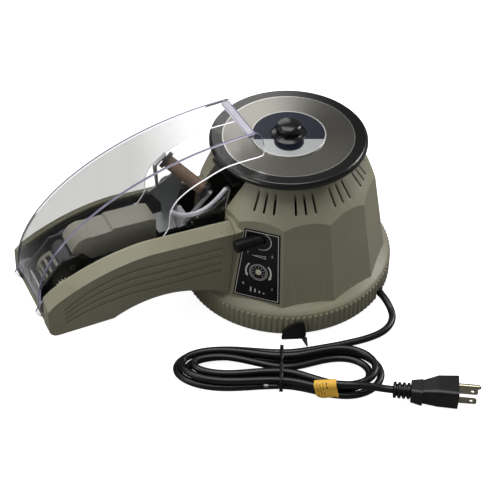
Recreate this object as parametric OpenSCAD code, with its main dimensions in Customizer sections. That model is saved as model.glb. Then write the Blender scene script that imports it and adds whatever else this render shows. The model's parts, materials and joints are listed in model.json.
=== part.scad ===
// Electric carousel tape dispenser: a round base turns the roll of tape on a reel plate,
// and an arm on the left feeds a set length of tape under a clear hinged cover and cuts it.
// The origin is on the reel's axis at the table. The arm points along -X, the control panel
// faces between -X and -Y, and +Z is up. All sizes are in millimetres.

/* [Base ring] */
// Outer radius of the fluted ring
ring_r = 106.5; // [104:0.5:110]
// Height of the ring's lower edge above the table
foot_gap = 4; // [3.5:0.1:5]
// Height of the fluted band
band_h = 25.5; // [22:0.5:28]
// Wall of the fluted ring
ring_wall = 5; // [3.5:0.5:6]
// Number of flutes round the ring
flute_count = 120; // [60:1:140]
// Radius of one flute
flute_r = 2.2; // [1.6:0.1:2.4]
// Thickness of the steel base plate
plate_t = 1.6; // [1.2:0.1:2.5]
// Radius of a suction foot
foot_r = 13; // [10:0.5:16]

/* [Drum housing] */
// Wall of the moulded housing
wall = 3; // [2:0.1:3.5]
// Distance from the axis to a corner of the twelve-sided drum at its foot
drum_r = 98.7; // [96:0.1:100]
// Lean of the drum's flats, sideways run per unit of height
drum_taper = 0.1646; // [0.12:0.005:0.2]
// Height at which the shoulder cone meets the corners of the drum
shoulder_z = 118; // [112:0.5:122]
// Rise of the shoulder cone
shoulder_rise = 31; // [28:0.5:34]
// Inward run of the shoulder cone
shoulder_run = 25; // [22:0.5:28]
// Width of a vent slit
slit_w = 2.2; // [1.4:0.1:3]
// Angle between the slits of one group
slit_step = 7.2; // [5:0.1:8]

/* [Reel] */
// Radius of the reel plate
reel_r = 75.4; // [70:0.2:80]
// Height of the reel plate's rim
reel_rim = 6.6; // [5:0.1:9]
// Height of the reel plate's upper face
reel_top = 165; // [162:0.5:172]
// Radius of the core hub, for a 76 mm core
hub_r = 37.7; // [34:0.1:38.5]
// Radius of the spindle
spindle_r = 6; // [4:0.1:8]
// Radius of the lock knob
knob_r = 12.5; // [10:0.5:16]
// Height of the lock knob
knob_h = 15; // [12:0.5:20]

/* [Arm] */
// Half the width of the arm over its side shells
arm_half = 47; // [44:0.5:50]
// Half the width between the side shells
arm_inner = 34; // [33.5:0.1:36]
// Drop of the sloping edge along the top of each side shell
bevel_drop = 7; // [4:0.5:9]
// Wall of the side shells
shell_t = 2.6; // [2:0.1:3.2]
// Number of grooves on each side shell
groove_count = 4; // [2:1:5]
// Depth of a groove
groove_depth = 1.2; // [0.6:0.1:1.6]

/* [Clear cover] */
// Half the width of the cover over its skirts
cover_half = 30; // [28:0.1:30.6]
// Thickness of the clear sheet
cover_t = 2; // [1.5:0.1:2.4]
// Length of the cover's curved top, from its front to the crown
cover_len = 208; // [200:1:214]
// Height of the curved top over its front
cover_rise = 119; // [112:1:124]
// Radius of the ear round each hinge screw
ear_r = 13.5; // [12:0.5:15]
// Radius of the hinge screw
pivot_r = 3; // [2:0.1:4]

/* [Feed and cutter] */
// Radius of the rubber feed roller
feed_r = 12; // [10:0.1:12.5]
// Radius of the pressure roller over it
press_r = 8; // [6:0.1:8.5]
// Gap between the two rollers, for the tape
tape_gap = 0.5; // [0.3:0.1:1]
// Length of the rollers
roller_len = 27; // [24:0.5:30]
// Gear module
gear_m = 1; // [1:0.01:1.01]
// Running clearance between a shaft and its hole
run_fit = 0.08; // [0.05:0.01:0.1]
// Radius of the roller shafts
shaft_r = 3; // [2:0.1:3.5]

/* [Controls] */
// Radius of the ribbed width knob
width_knob_r = 5.6; // [5:0.1:6]
// Length of the width knob outside the panel
width_knob_len = 23; // [18:1:30]
// Radius of the length trimmer
trimmer_r = 3; // [2:0.1:4]

/* [Cord] */
// Diameter of the mains cord
cord_d = 7; // [6:0.1:7.4]
// Step from one turn of the hank to the next
hank_step = 10.8; // [10.8:0.1:11.4]

/* [Hidden] */
$fn = 64;

// Heights that follow from the sizes above
band_top = foot_gap + band_h;
bevel_top = band_top + 4.8;
shoulder_top = shoulder_z + shoulder_rise;
top_r = drum_corner(shoulder_z) - shoulder_run;
gap = 0.3;
function drum_corner(z) = drum_r - (z - (foot_gap + 31)) * drum_taper;
function drum_flat(z) = drum_corner(z) * cos(15);

// A circle through three points, sampled from the first to the last
function centre_of(a, b, c) =
    let (d = 2 * (a[0] * (b[1] - c[1]) + b[0] * (c[1] - a[1]) + c[0] * (a[1] - b[1])),
        sa = a * a, sb = b * b, sc = c * c)
    [(sa * (b[1] - c[1]) + sb * (c[1] - a[1]) + sc * (a[1] - b[1])) / d,
     (sa * (c[0] - b[0]) + sb * (a[0] - c[0]) + sc * (b[0] - a[0])) / d];
function turn_to(from, to, ccw) = ccw ? (to < from ? to + 360 : to) : (to > from ? to - 360 : to);
function arc_through(a, b, c, n) =
    let (m = centre_of(a, b, c), r = norm(a - m),
        ta = atan2(a[1] - m[1], a[0] - m[0]),
        ccw = (b[0] - a[0]) * (c[1] - a[1]) - (b[1] - a[1]) * (c[0] - a[0]) > 0,
        tc = turn_to(ta, atan2(c[1] - m[1], c[0] - m[0]), ccw))
    [for (i = [0:n]) m + r * [cos(ta + (tc - ta) * i / n), sin(ta + (tc - ta) * i / n)]];

// Puts a shape drawn along +Z on the line from p to q
module along(p, q) {
    v = q - p;
    translate(p) rotate([0, acos(v[2] / norm(v)), atan2(v[1], v[0])]) children();
}
// Lays a profile drawn in X and Z between two values of Y
module side_slab(y0, y1) {
    translate([0, y1, 0]) rotate([90, 0, 0]) linear_extrude(y1 - y0) children();
}
module y_rod(x, z, r, y0, y1) {
    translate([x, y1, z]) rotate([90, 0, 0]) cylinder(h = y1 - y0, r = r);
}

// Spur gear teeth with straight flanks and a little backlash
backlash = 0.22;
function tooth_points(n, m, s) =
    let (rp = m * n / 2, half = 90 / n - backlash / 2 / rp * 57.3)
    [for (i = [0:n - 1]) let (a = i * 360 / n + s * 180 / n)
        each [[rp - 1.15 * m, a - half * 1.45], [rp + 0.8 * m, a - half * 0.5],
              [rp + 0.8 * m, a + half * 0.5], [rp - 1.15 * m, a + half * 1.45]]];
module gear_outline(n, m, s) {
    polygon([for (p = tooth_points(n, m, s)) p[0] * [cos(p[1]), sin(p[1])]]);
}

/* Base ring, base plate and feet */
module base_ring() {
    color("#8a8a74") difference() {
        union() {
            rotate_extrude() polygon(concat([[ring_r - ring_wall, band_top],
                [ring_r - ring_wall, foot_gap], [ring_r - rib_stand, foot_gap]], arc_through(
                [ring_r - rib_stand, band_top - lip_h], [ring_r - rib_stand - 0.9, band_top - 1],
                [ring_r - lip_in, band_top], 4)));
            intersection() {
                translate([0, 0, foot_gap + 1.2]) linear_extrude(band_h - lip_h - 1.2) difference() {
                    for (i = [0:flute_count - 1]) rotate(i * 360 / flute_count)
                        translate([ring_r - flute_r, 0]) circle(flute_r, $fn = 24);
                    circle(ring_r - ring_wall + 0.5);
                }
                cylinder(h = band_top - lip_h, r1 = ring_r - rib_stand + band_top - lip_h,
                    r2 = ring_r - rib_stand);
            }
        }
        cord_notch();
    }
    color("#8a8a74") difference() {
        translate([0, 0, foot_gap + plate_t + gap]) difference() {
            cylinder(h = 3, r = ring_r - ring_wall + 0.01);
            translate([0, 0, -1]) cylinder(h = 5, r = ring_r - ring_wall - 10);
        }
        cord_notch();
        base_screw_places() translate([0, 0, foot_gap]) cylinder(h = 8, r = 1.6);
    }
}
rib_stand = 1.2;
lip_h = 3.4;
lip_in = 3.3;
cord_x = 60;
cord_exit_y = -90;
cord_z = 8;
gland_len = 24;
gland_r = 4.6;
module cord_notch() {
    translate([cord_x - gland_r - 0.2, cord_exit_y - 8, -1])
        cube([2 * gland_r + 0.4, gland_len + 12, cord_z + gland_r + 1.2]);
}
module base_screw_places() {
    for (a = [35, 145, 215, 335]) rotate(a) translate([ring_r - ring_wall - 5.5, 0, 0]) children();
}
module base_plate() {
    color("#6e7072") difference() {
        translate([0, 0, foot_gap]) cylinder(h = plate_t, r = ring_r - ring_wall - gap);
        cord_notch();
        base_screw_places() cylinder(h = 12, r = 1.9);
        for (a = foot_angles) rotate(a) translate([foot_place, 0, 0]) cylinder(h = 12, r = 3.1);
        translate([-pad_place, 0, 0]) cylinder(h = 12, r = 3.1);
    }
}
module base_screws() {
    color("#b9bcc0") base_screw_places() translate([0, 0, foot_gap]) {
        translate([0, 0, -1.8]) cylinder(h = 1.8, r = 3.2);
        cylinder(h = 6.5, r = 1.5);
    }
}
foot_angles = [246.4, 113.6, 0];
foot_place = ring_r - 18.5;
pad_place = foot_place;
tab_t = 2.6;
// A soft cup under the plate, its stud, the release tab turned up against the ring, and a tongue
module suction_foot(a) {
    color("#1c1d1f") rotate(a) {
        translate([foot_place, 0, 0]) rotate_extrude() polygon([[0, 1.2], [foot_r * 0.7, 1.2],
            [foot_r - 0.6, 0], [foot_r, 0.5], [foot_r * 0.75, 2.6], [5.5, foot_gap - 0.05],
            [3, foot_gap - 0.05], [3, foot_gap + plate_t + 2], [0, foot_gap + plate_t + 2]]);
        translate([foot_place + foot_r * 0.6, -9, 0.5])
            cube([ring_r + 1.4 - foot_place - foot_r * 0.6, 18, 1.8]);
        translate([ring_r + 0.4, 0, 0.5]) rotate([90, 0, 90]) linear_extrude(tab_t)
            polygon([[-11.8, 1.5], [-11, 0], [11.4, 0], [11.9, 7], [10.6, 16.5], [9.4, 21.4], [8.2, 22.6],
                [4.2, 22.3], [0.9, 20.6], [-3.3, 17.4], [-6.5, 15.3], [-8.7, 13], [-10.4, 8.5]]);
        translate([ring_r, 0, 0.3]) linear_extrude(2) polygon([[tab_t, 7.6], [tab_t, 13],
            [13.2, 12.9], [13.4, 11.8]]);
    }
}
module arm_pad() {
    color("#1c1d1f") translate([-pad_place, 0, 0]) rotate_extrude()
        polygon([[0, 0], [8, 0], [8.6, 0.6], [8.6, foot_gap - 0.05], [3, foot_gap - 0.05],
            [3, foot_gap + plate_t + 2], [0, foot_gap + plate_t + 2]]);
}

/* Drum housing */
// Blocks that cut the twelve leaning flats
module flat_cutters(inset) {
    for (k = [0:11]) rotate(15 + 30 * k) translate([drum_flat(0) - inset, 0, 0])
        rotate([0, -panel_lean, 0]) translate([0, -60, -30]) cube([60, 120, 250]);
}
module drum_body(inset, extra) {
    difference() {
        shoulder_cone(inset, extra);
        flat_cutters(inset);
    }
}
module shoulder_cone(inset, extra) {
    d = inset * norm([shoulder_rise, shoulder_run]) / shoulder_rise;
    foot = drum_corner(shoulder_z) - d + shoulder_run;
    rotate_extrude() polygon([[0, band_top + gap], [foot, band_top + gap],
        [foot, shoulder_z - shoulder_rise], [top_r - d, shoulder_top],
        [top_r - d, shoulder_top + extra], [0, shoulder_top + extra]]);
}
// The seam between the arm's shells and the drum's neck leans back a little
seam_low = [11.7 - drum_r, bevel_top + 1.5];
seam_high = [19.7 - drum_r, 116];
function seam_x(z) = seam_low[0] + (z - seam_low[1]) * (seam_high[0] - seam_low[0])
    / (seam_high[1] - seam_low[1]);
neck_profile = [[-60, bevel_top], seam_low, seam_high, [-60, 115]];
neck_top = 110;
neck_low = 38;
channel_floor = 62;
// The mouth in the shoulder where the tape leaves the reel
mouth_half = 24;
mouth_x = -56;
module mouth() {
    translate([-2 * drum_r, -mouth_half, channel_floor])
        cube([2 * drum_r + mouth_x, 2 * mouth_half, 120]);
    translate([-2 * drum_r, -chassis_half, channel_floor])
        cube([2 * drum_r + mouth_x - 2, 2 * chassis_half, neck_top - channel_floor]);
}
// What the arm and its clearance take from the drum
module arm_room() {
    side_slab(-arm_half - 0.4, arm_half + 0.4) polygon([[-2 * drum_r, seam_low[1]],
        seam_low, [seam_x(130), 130], [-2 * drum_r, 130]]);
}
slit_r0 = 64.5;
slit_r1 = 75;
module slit(a) {
    rotate(a) translate([0, 0, shoulder_top - 34]) linear_extrude(40) {
        translate([slit_r0, -slit_w / 2]) square([slit_r1 - slit_r0, slit_w]);
        for (r = [slit_r0, slit_r1]) translate([r, 0]) circle(slit_w / 2, $fn = 24);
    }
}
module drum_housing() {
    color("#8a8a74") difference() {
        union() {
            drum_body(0, 0);
            translate([0, 0, band_top + gap]) cylinder(h = 4.5, r1 = ring_r - lip_in,
                r2 = ring_r - 11);
            intersection() {
                side_slab(-arm_half, arm_half) polygon(neck_profile);
                neck_roof();
            }
        }
        difference() {
            translate([0, 0, -wall]) shoulder_cone(wall, 0);
            flat_cutters(wall);
        }
        translate([0, 0, 20]) cylinder(h = band_top + gap - 16, r = drum_flat(band_top) - wall);
        translate([0, 0, shoulder_top - 10]) cylinder(h = 20, r = reel_bore);
        mouth();
        arm_room();
        side_slab(-arm_half + wall, arm_half - wall) polygon([[seam_x(neck_low) + wall, neck_low],
            [seam_x(neck_top) + wall, neck_top], [-58, neck_top], [-58, neck_low]]);
        for (k = [0:9], j = [-1:1]) slit(225 + 30 * k + slit_step * j);
        panel_holes(0.6);
    }
}
module neck_roof() {
    translate([-100, 0, 0]) rotate([90, 0, 90]) linear_extrude(60)
        polygon([[-arm_half, 0], [-arm_half, 116 - bevel_drop], [-arm_half + 11, 116],
            [arm_half - 11, 116], [arm_half, 116 - bevel_drop], [arm_half, 0]]);
}
reel_bore = 53;

/* Control panel on the flat that faces between -X and -Y */
panel_angle = 225;
panel_lean = atan(drum_taper * cos(15));
panel_low = 36;
panel_h = 80;
label_t = 0.5;
// Frame of the panel: X along the flat, Y up the flat, Z out of it, origin at the flat's foot
module on_panel() {
    rotate(panel_angle) translate([drum_flat(panel_low), 0, panel_low])
        rotate([0, -panel_lean, 0]) rotate([90, 0, 90]) children();
}
// A point of the panel, given along and up the flat, in the object's own frame
function panel_point(side, up) = let (out = drum_flat(panel_low) - up * sin(panel_lean),
        c = cos(panel_angle), s = sin(panel_angle))
    [out * c - side * s, out * s + side * c, panel_low + up * cos(panel_lean)];
knob_up = 68;
knob_side = knob_up * sin(panel_lean) - drum_flat(panel_low)
    - (arm_half + width_knob_r + 5) / sin(panel_angle);
knob_at = panel_point(knob_side, knob_up);
knob_face_x = knob_at[0];
knob_y = knob_at[1];
knob_z = knob_at[2];
trimmer_up = 32;
label_edge = [[-24.2, 0.6], [22.9, 0.6], [18.8, panel_h - 2], [-15.8, panel_h - 2]];
module panel_holes(clear) {
    translate([knob_face_x - 18, knob_y, knob_z]) rotate([0, 90, 0])
        cylinder(h = 30, r = width_knob_r + clear);
    on_panel() translate([0, trimmer_up, -20]) cylinder(h = 40, r = trimmer_r + clear / 2);
}
module control_label() {
    color("#101114") difference() {
        on_panel() linear_extrude(label_t) polygon(label_edge);
        panel_holes(0.6);
        translate([-2 * drum_r, -arm_half - 0.4, 0]) cube([2 * drum_r, 2 * arm_half + 0.8, 150]);
    }
}
module width_knob() {
    ribs = 24;
    color("#2a2b2e") translate([knob_face_x - width_knob_len, knob_y, knob_z]) rotate([0, 90, 0])
        difference() {
            union() {
                cylinder(h = width_knob_len + 5, r1 = width_knob_r + 0.1, r2 = width_knob_r - 1.2);
                intersection() {
                    translate([0, 0, 1]) linear_extrude(width_knob_len - 3)
                        for (i = [0:ribs - 1]) rotate(i * 360 / ribs)
                            translate([width_knob_r / 2, -0.35]) square([width_knob_r, 0.7]);
                    cylinder(h = width_knob_len, r1 = width_knob_r + 0.7, r2 = width_knob_r - 0.3);
                }
            }
            translate([0, 0, width_knob_len - 3]) cylinder(h = 9, r = 2.5);
        }
}
knob_pinion_teeth = 10;
pinion_x = knob_face_x + 17.7;
module width_shaft() {
    color("#b9bcc0") {
        translate([knob_face_x - 3, knob_y, knob_z]) rotate([0, 90, 0]) 
            cylinder(h = pinion_x + 6.3 - knob_face_x, r = 2.5);
        translate([pinion_x - 3, knob_y, knob_z]) rotate([0, 90, 0])
            linear_extrude(6) rotate(90) gear_outline(knob_pinion_teeth, gear_m, 0);
    }
}
rack_y = knob_y + gear_m * knob_pinion_teeth / 2;
guide_z = 143.5;
rack_low = -18;
rack_top = 9;
// Rack bar behind the panel, an arm round the inside of the drum, and the ledge under the tape
module width_guide() {
    pitch = PI * gear_m;
    color("#3a3b3d") {
        translate([pinion_x - 2.5, rack_y + 1.15 * gear_m, knob_z + rack_low])
            cube([5, 4, rack_top - rack_low]);
        translate([pinion_x - 2.5, 0, 0]) rotate([90, 0, 90]) linear_extrude(5)
            for (i = [-5:2]) translate([rack_y, knob_z + (i + 0.5) * pitch])
                polygon([[1.2 * gear_m, -pitch * 0.34], [1.2 * gear_m, pitch * 0.34],
                    [-0.8 * gear_m, pitch * 0.13], [-0.8 * gear_m, -pitch * 0.13]]);
        translate([0, 0, knob_z + rack_top - 4]) linear_extrude(4) hull() {
            translate([pinion_x, rack_y + 3.2]) circle(2, $fn = 32);
            translate([-59, -18]) circle(2, $fn = 32);
        }
        translate([-61, -22, knob_z + rack_top - 4])
            cube([4, 8, guide_z + 2 - knob_z - rack_top + 4]);
        translate([-70, -22, guide_z]) cube([13, 44, 3]);
    }
}
module length_trimmer() {
    color("#c9c6b8") on_panel() difference() {
        translate([0, trimmer_up, -9]) cylinder(h = 9 + label_t, r = trimmer_r);
        translate([-5, trimmer_up - 0.5, label_t - 1.2]) cube([10, 1, 3]);
    }
}
module circuit_board() {
    color("#2f6b3f") on_panel() difference() {
        translate([-18, 4, -14]) cube([36, 52, 1.6]);
        for (x = [-14, 14], y = [8, 52]) translate([x, y, -15]) cylinder(h = 4, r = 1.6);
    }
    color("#2b4fa0") on_panel() {
        translate([-5, trimmer_up - 5, -12.4]) cube([10, 10, 3]);
        translate([-14, 40, -12.4]) cube([8, 12, 6]);
        translate([6, 10, -12.4]) cylinder(h = 8, r = 4);
        translate([-10, 14, -12.4]) cylinder(h = 6, r = 3);
        for (x = [-14, 14], y = [8, 52]) translate([x, y, -wall - 9.4 - 1])
            cylinder(h = 9.4 + 1.02, r = 2.2);
    }
}

/* Arm outline in X and Z, shared by its shells, chassis and belly */
tip_x = -267;
seam_gap = 0.6;
crest = concat([[seam_high[0] - seam_gap, seam_high[1]]],
    arc_through([-165, 124], [-217, 117.5], [-258, 101.5], 12), [[tip_x + 2, 96]]);
belly = concat([[-258, 57]], arc_through([-205, 54.5], [-166, 63], [-127, 56], 12),
    [[-105, 47], [seam_low[0] - seam_gap, seam_low[1]]]);
tip_round = [for (i = [0:5]) [tip_x + 9, 66] + 9 * [-cos(i * 17), -sin(i * 17)]];
arm_side = concat(crest, tip_round, belly);
function shrink(list, t) = let (n = len(list)) [for (i = [0:n - 1])
    let (a = list[(i + n - 1) % n], b = list[i], c = list[(i + 1) % n],
        u = (b - a) / norm(b - a), v = (c - b) / norm(c - b),
        m = [-u[1] - v[1], u[0] + v[0]], k = t / (1 + u * v)) b + m * k];
bevel_run = 11;
// Blocks over the sloping rim, one for each stretch of the crest, set in by a wall
module rim_blocks(inset) {
    for (i = [0:len(crest) - 2]) {
        a = crest[i];
        b = crest[i + 1];
        n = unit(cross([a[0] - b[0], 0, a[1] - b[1]], [0, bevel_run, -bevel_drop]));
        translate([b[0], arm_half - bevel_run, b[1]] - inset * n)
            rotate([0, acos(n[2]), atan2(n[1], n[0])]) translate([-150, -150, 0])
            cube([300, 300, 60]);
    }
}
module arm_shell_solid(inset) {
    difference() {
        side_slab(arm_inner - inset, arm_half - inset) polygon(shrink(arm_side, inset));
        rim_blocks(inset);
    }
}
// One groove follows the top edge, from near the seam to near the tip
groove_left = [-250, 86];
groove_step_left = 5.3;
groove_right = [seam_high[0] - 13, 97.5];
groove_step_right = 8.8;
function groove_line(k, low) = let (a = low ? -2.4 : 0, b = low ? -3.4 : 0,
        p = groove_right + [-1.1 * k, -groove_step_right * k + b],
        q = groove_left + [0, -groove_step_left * k + a],
        m = [-165, p[1] + 7 - 0.3 * k], s = [-215, (m[1] + q[1]) / 2 + 6.2 - k * 0.5])
    concat([p], arc_through(m, s, q, 12));
module grooves() {
    for (k = [0:groove_count - 1]) {
        up = groove_line(k, false);
        low = groove_line(k, true);
        n = len(low);
        side_slab(arm_half - groove_depth, arm_half + 1)
            polygon(concat(up, [for (i = [n - 1:-1:0]) low[i]]));
    }
}
shell_bosses = [[-236, 78], [-130, 78]];
module arm_shell() {
    color("#8a8a74") difference() {
        union() {
            difference() {
                arm_shell_solid(0);
                arm_shell_solid(shell_t);
            }
            for (p = shell_bosses) y_rod(p[0], p[1], 4, chassis_half, arm_half - shell_t + 0.5);
        }
        for (p = shell_bosses) y_rod(p[0], p[1], 1.5, chassis_half - 1, arm_half - 5);
        grooves();
        translate([seam_high[0] - 13, arm_half - 4, 112]) rotate([0, 0, 45]) cube([5, 5, 8]);
    }
}
module arm_shell_far() { arm_shell(); }
module arm_shell_near() { mirror([0, 1, 0]) arm_shell(); }
belly_t = 2.6;
belly_posts = [[-215, 57], [-150, 62]];
module arm_belly() {
    under = arm_side;
    start = len(crest) + 2;
    low = [for (i = [start:len(arm_side) - 1]) under[i]];
    inner = shrink(arm_side, belly_t);
    high = [for (i = [len(arm_side) - 1:-1:start]) inner[i]];
    color("#8a8a74") {
        side_slab(-arm_inner + gap / 2, arm_inner - gap / 2) polygon(concat(low, high));
        for (post = belly_posts, y = [-22, 22]) translate([post[0], y, post[1]])
            cylinder(h = chassis_floor - post[1], r = 4);
    }
}
chassis_floor = 66;
chassis_t = 2;
chassis_half = 33;
// Black channel between the shells: two side walls, a floor, a step for the bracket, and
// two cheeks that carry the shafts and the fixed blade
cheek_in = 15.4;
cheek_t = 3;
cheek = [[-263, 66.5], [-263, 91], [-254, 100], [-238, 117], [-223, 117], [-204, 97],
    [-204, chassis_floor + 1], [-236, chassis_floor + 1], [-236, 60.3], [-258, 60.3],
    [-261.8, 62.8]];
step_top = 104;
module arm_chassis() {
    top = shrink(crest_loop, 3);
    walls = concat([for (i = [0:len(crest) - 1]) top[i]], [[-262, 90], [-262, 64],
        [-259, 60.4], [-245, 60.2], [-236, chassis_floor], [-90, chassis_floor]]);
    color("#26272a") difference() {
        union() {
            for (y = [-chassis_half, chassis_half - chassis_t]) {
                side_slab(y, y + chassis_t) polygon(walls);
                y_rod(hinge[0], hinge[1], pivot_r + 3.5, y, y + chassis_t);
            }
            translate([-237, -chassis_half, chassis_floor])
                cube([177, 2 * chassis_half, chassis_t]);
            for (y = [-cheek_in - cheek_t, cheek_in]) side_slab(y, y + cheek_t) polygon(cheek);
            side_slab(-cheek_in - 1, cheek_in + 1) polygon([[-263, 64.5],
                [-263, 71.5], [-261, 71.5], [-261, 64]]);
            translate([-160, -12, chassis_floor]) cube([54, 24, step_top - chassis_floor]);
        }
        for (s = shaft_places) y_rod(s[0], s[1], shaft_r + run_fit, -20, 20);
        y_rod(cutter[0], cutter[1], 2 + run_fit, -20, 20);
        for (y = [-40, 20]) y_rod(hinge[0], hinge[1], pivot_r, y, y + 20);
        for (p = shell_bosses) y_rod(p[0], p[1], 1.5, -40, 40);
        translate([-157, -9, chassis_floor - 1]) cube([48, 18, step_top - chassis_floor - 2]);
    }
}
crest_loop = concat(crest, [[-262, 60], [-90, 60]]);
hinge = [-259, 80];
feed = [-238, 86];
idler_teeth = 26;
feed_teeth = 22;
pinion_teeth = 12;
feed_reach = gear_m * (feed_teeth + idler_teeth) / 2;
pinion_reach = gear_m * (idler_teeth + pinion_teeth) / 2;
idler_turn = -6;
idler = feed + feed_reach * [cos(idler_turn), sin(idler_turn)];
motor_turn = 10;
motor = idler + pinion_reach * [cos(motor_turn), sin(motor_turn)];
press_turn = 68;
press = feed + (feed_r + press_r + tape_gap) * [cos(press_turn), sin(press_turn)];
shaft_places = [feed, press, idler];
module feed_shaft() {
    color("#b9bcc0") y_rod(feed[0], feed[1], shaft_r, gear_y, 19.2);
}
module feed_roller() {
    color("#2b2c2e") difference() {
        y_rod(feed[0], feed[1], feed_r, -roller_len / 2, roller_len / 2);
        y_rod(feed[0], feed[1], shaft_r, -20, 20);
    }
}
module gear_at(p, teeth, phase, y0, y1, bore) {
    difference() {
        translate([p[0], y1, p[1]]) rotate([90, 0, 0]) linear_extrude(y1 - y0)
            rotate(phase) gear_outline(teeth, gear_m, 0);
        if (bore > 0) y_rod(p[0], p[1], bore, y0 - 1, y1 + 1);
    }
}
gear_y = -24.5;
gear_t = 5;
module feed_gear() {
    color("#d8d2bc") gear_at(feed, feed_teeth, idler_turn, gear_y, gear_y + gear_t, shaft_r);
}
module idler_gear() {
    color("#d8d2bc") {
        gear_at(idler, idler_teeth, idler_phase, gear_y, gear_y + gear_t, 0);
        y_rod(idler[0], idler[1], shaft_r, gear_y - 1, -cheek_in - 0.2);
    }
}
idler_phase = idler_turn + 180 + 180 / idler_teeth;
// The pinion's teeth meet the idler's gaps on the line between them
pinion_phase = motor_turn + 180
    + ((motor_turn - idler_phase) * idler_teeth / 360 - 0.5) * 360 / pinion_teeth;
module motor_pinion() {
    color("#b9bcc0") {
        gear_at(motor, pinion_teeth, pinion_phase, gear_y, gear_y + gear_t, 0);
        y_rod(motor[0], motor[1], 2, gear_y, -5);
    }
}
module pressure_roller() {
    color("#5b5c5e") y_rod(press[0], press[1], press_r, -14, 14);
    color("#b9bcc0") y_rod(press[0], press[1], shaft_r, -19.2, 19.2);
}
motor_r = 15;
module feed_motor() {
    color("#9a9da1") difference() {
        union() {
            y_rod(motor[0], motor[1], motor_r, -10.7, 14.9);
            y_rod(motor[0], motor[1], 5, 14.9, 17);
            translate([motor[0] - 9, -8, chassis_floor + chassis_t]) cube([18, 20, 6]);
        }
        y_rod(motor[0], motor[1], 2 + run_fit, -11, -4);
    }
}
// The blade slides up between the cheeks on a rack; the pinion turns it from the cutter motor
cutter = [-247, 68.5];
blade_teeth = 10;
blade_x = -259.7;
blade_t = 1.2;
blade_rest_top = 71.5;
blade_half = cheek_in - 0.4;
module blade_pinion() {
    color("#b9bcc0") {
        gear_at(cutter, blade_teeth, 180 / blade_teeth, -3, 3, 0);
        y_rod(cutter[0], cutter[1], 2, -cheek_in - cheek_t, 24);
    }
}
module cutter_motor() {
    color("#9a9da1") difference() {
        y_rod(cutter[0], cutter[1], 7.6, cheek_in + cheek_t, 27.3);
        y_rod(cutter[0], cutter[1], 2 + run_fit, cheek_in, 25);
    }
}
rack_x = cutter[0] - gear_m * blade_teeth / 2;
module moving_blade() {
    pitch = PI * gear_m;
    color("#c8cacc") side_slab(-blade_half, blade_half) polygon([[blade_x, 60.5],
        [blade_x, blade_rest_top], [blade_x + blade_t, blade_rest_top - 1.6],
        [blade_x + blade_t, 60.5]]);
    color("#c8cacc") side_slab(-2.5, 2.5) {
        translate([blade_x + blade_t - 0.1, 60.5])
            square([rack_x - 1.15 * gear_m - blade_x - blade_t + 0.1, 10.5]);
        for (i = [-2:0]) translate([rack_x, cutter[1] + i * pitch])
            polygon([[-1.2 * gear_m, pitch * 0.34], [-1.2 * gear_m, -pitch * 0.34],
                [0.8 * gear_m, -pitch * 0.13], [0.8 * gear_m, pitch * 0.13]]);
    }
}
module fixed_blade() {
    color("#c8cacc") side_slab(-cheek_in, cheek_in) polygon([[blade_x - 0.3, 77], [blade_x - 0.3, 90],
        [blade_x - 1.5, 90], [blade_x - 1.5, 78.6]]);
}
// Curved guide over the feed roller with a ladder of openings
module outlet_grille() {
    r = feed_r + 2.2;
    color("#8a8a74") difference() {
        side_slab(-cheek_in, cheek_in) intersection() {
            translate(feed) difference() { circle(r + 2); circle(r); }
            translate(feed) polygon([[0, 0], [-40, -4], [-40, 40], [-2, 40]]);
        }
        for (a = [112, 138, 164]) translate([feed[0], 0, feed[1]]) rotate([0, -a, 0])
            translate([r - 3, -11, -2.4]) cube([8, 22, 4.8]);
    }
}

/* Hood, bracket and guard over the arm's channel */
hood_top = 131;
module tape_hood() {
    half = 13;
    color("#8a8a74") difference() {
        side_slab(-half, half) polygon(concat([[-150, hood_top - 3], [-186, hood_top],
            [-188, hood_top - 2]], arc_through([-206, hood_top - 2], [-222, hood_top - 5],
            [-227, hood_top - 14], 8), [[-226, 113.5], [-218, 113.5], [-210, step_top],
            [-145, step_top], [-144, hood_top - 5]]));
        side_slab(-half + 2.2, half - 2.2) polygon([[-161, 100], [-161, hood_top - 5.4],
            [-214, hood_top - 5.4], [-222, hood_top - 14], [-222, 100]]);
    }
}
post_low = [-93, -13, 140];
post_high = [-119.5, 19, 165];
post_dir = (post_high - post_low) / norm(post_high - post_low);
post_len = norm(post_high - post_low);
module turn_bracket() {
    color("#77797a") {
        translate([-142, -12.5, step_top]) cube([34, 27.5, 4]);
        side_slab(12.5, 15) polygon([[-140, 138], [-128, 120], [-128, step_top], [-112, step_top],
            [-112, 120], [-106, 139], [-114, 151]]);
        translate([-121, 16, 141]) rotate([90, 0, 0]) difference() {
            cylinder(h = 1, r = 7);
            translate([0, 0, -1]) cylinder(h = 3, r = 6);
        }
        along(post_low - 5 * post_dir, post_high + 4 * post_dir)
            cylinder(h = post_len + 9, r = shaft_r);
        hull() {
            along(post_low - 5 * post_dir, post_high) cylinder(h = 3, r = 4.5, $fn = 32);
            translate([-114, -9, step_top + 3]) sphere(3, $fn = 32);
        }
        hull() {
            along(post_high + post_dir, post_high + 4 * post_dir) cylinder(h = 3, r = 4.5, $fn = 32);
            translate([-131.7, 13.5, 165]) sphere(2, $fn = 32);
        }
        hull() {
            translate([-131.7, 13.5, 165]) sphere(2, $fn = 32);
            translate([-131, 13.7, 140]) sphere(1.3, $fn = 32);
        }
    }
}
module turn_roller() {
    color("#b98f5e") along(post_low + 4 * post_dir, post_high) difference() {
        cylinder(h = post_len - 8, r = 6.2);
        translate([0, 0, -1]) cylinder(h = post_len, r = shaft_r + run_fit);
    }
    color("#17181a") for (s = [0, post_len - 4]) along(post_low + s * post_dir, post_high)
        difference() {
            cylinder(h = 4, r = 8.6);
            translate([0, 0, -1]) cylinder(h = 6, r = shaft_r + run_fit);
        }
}
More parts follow.
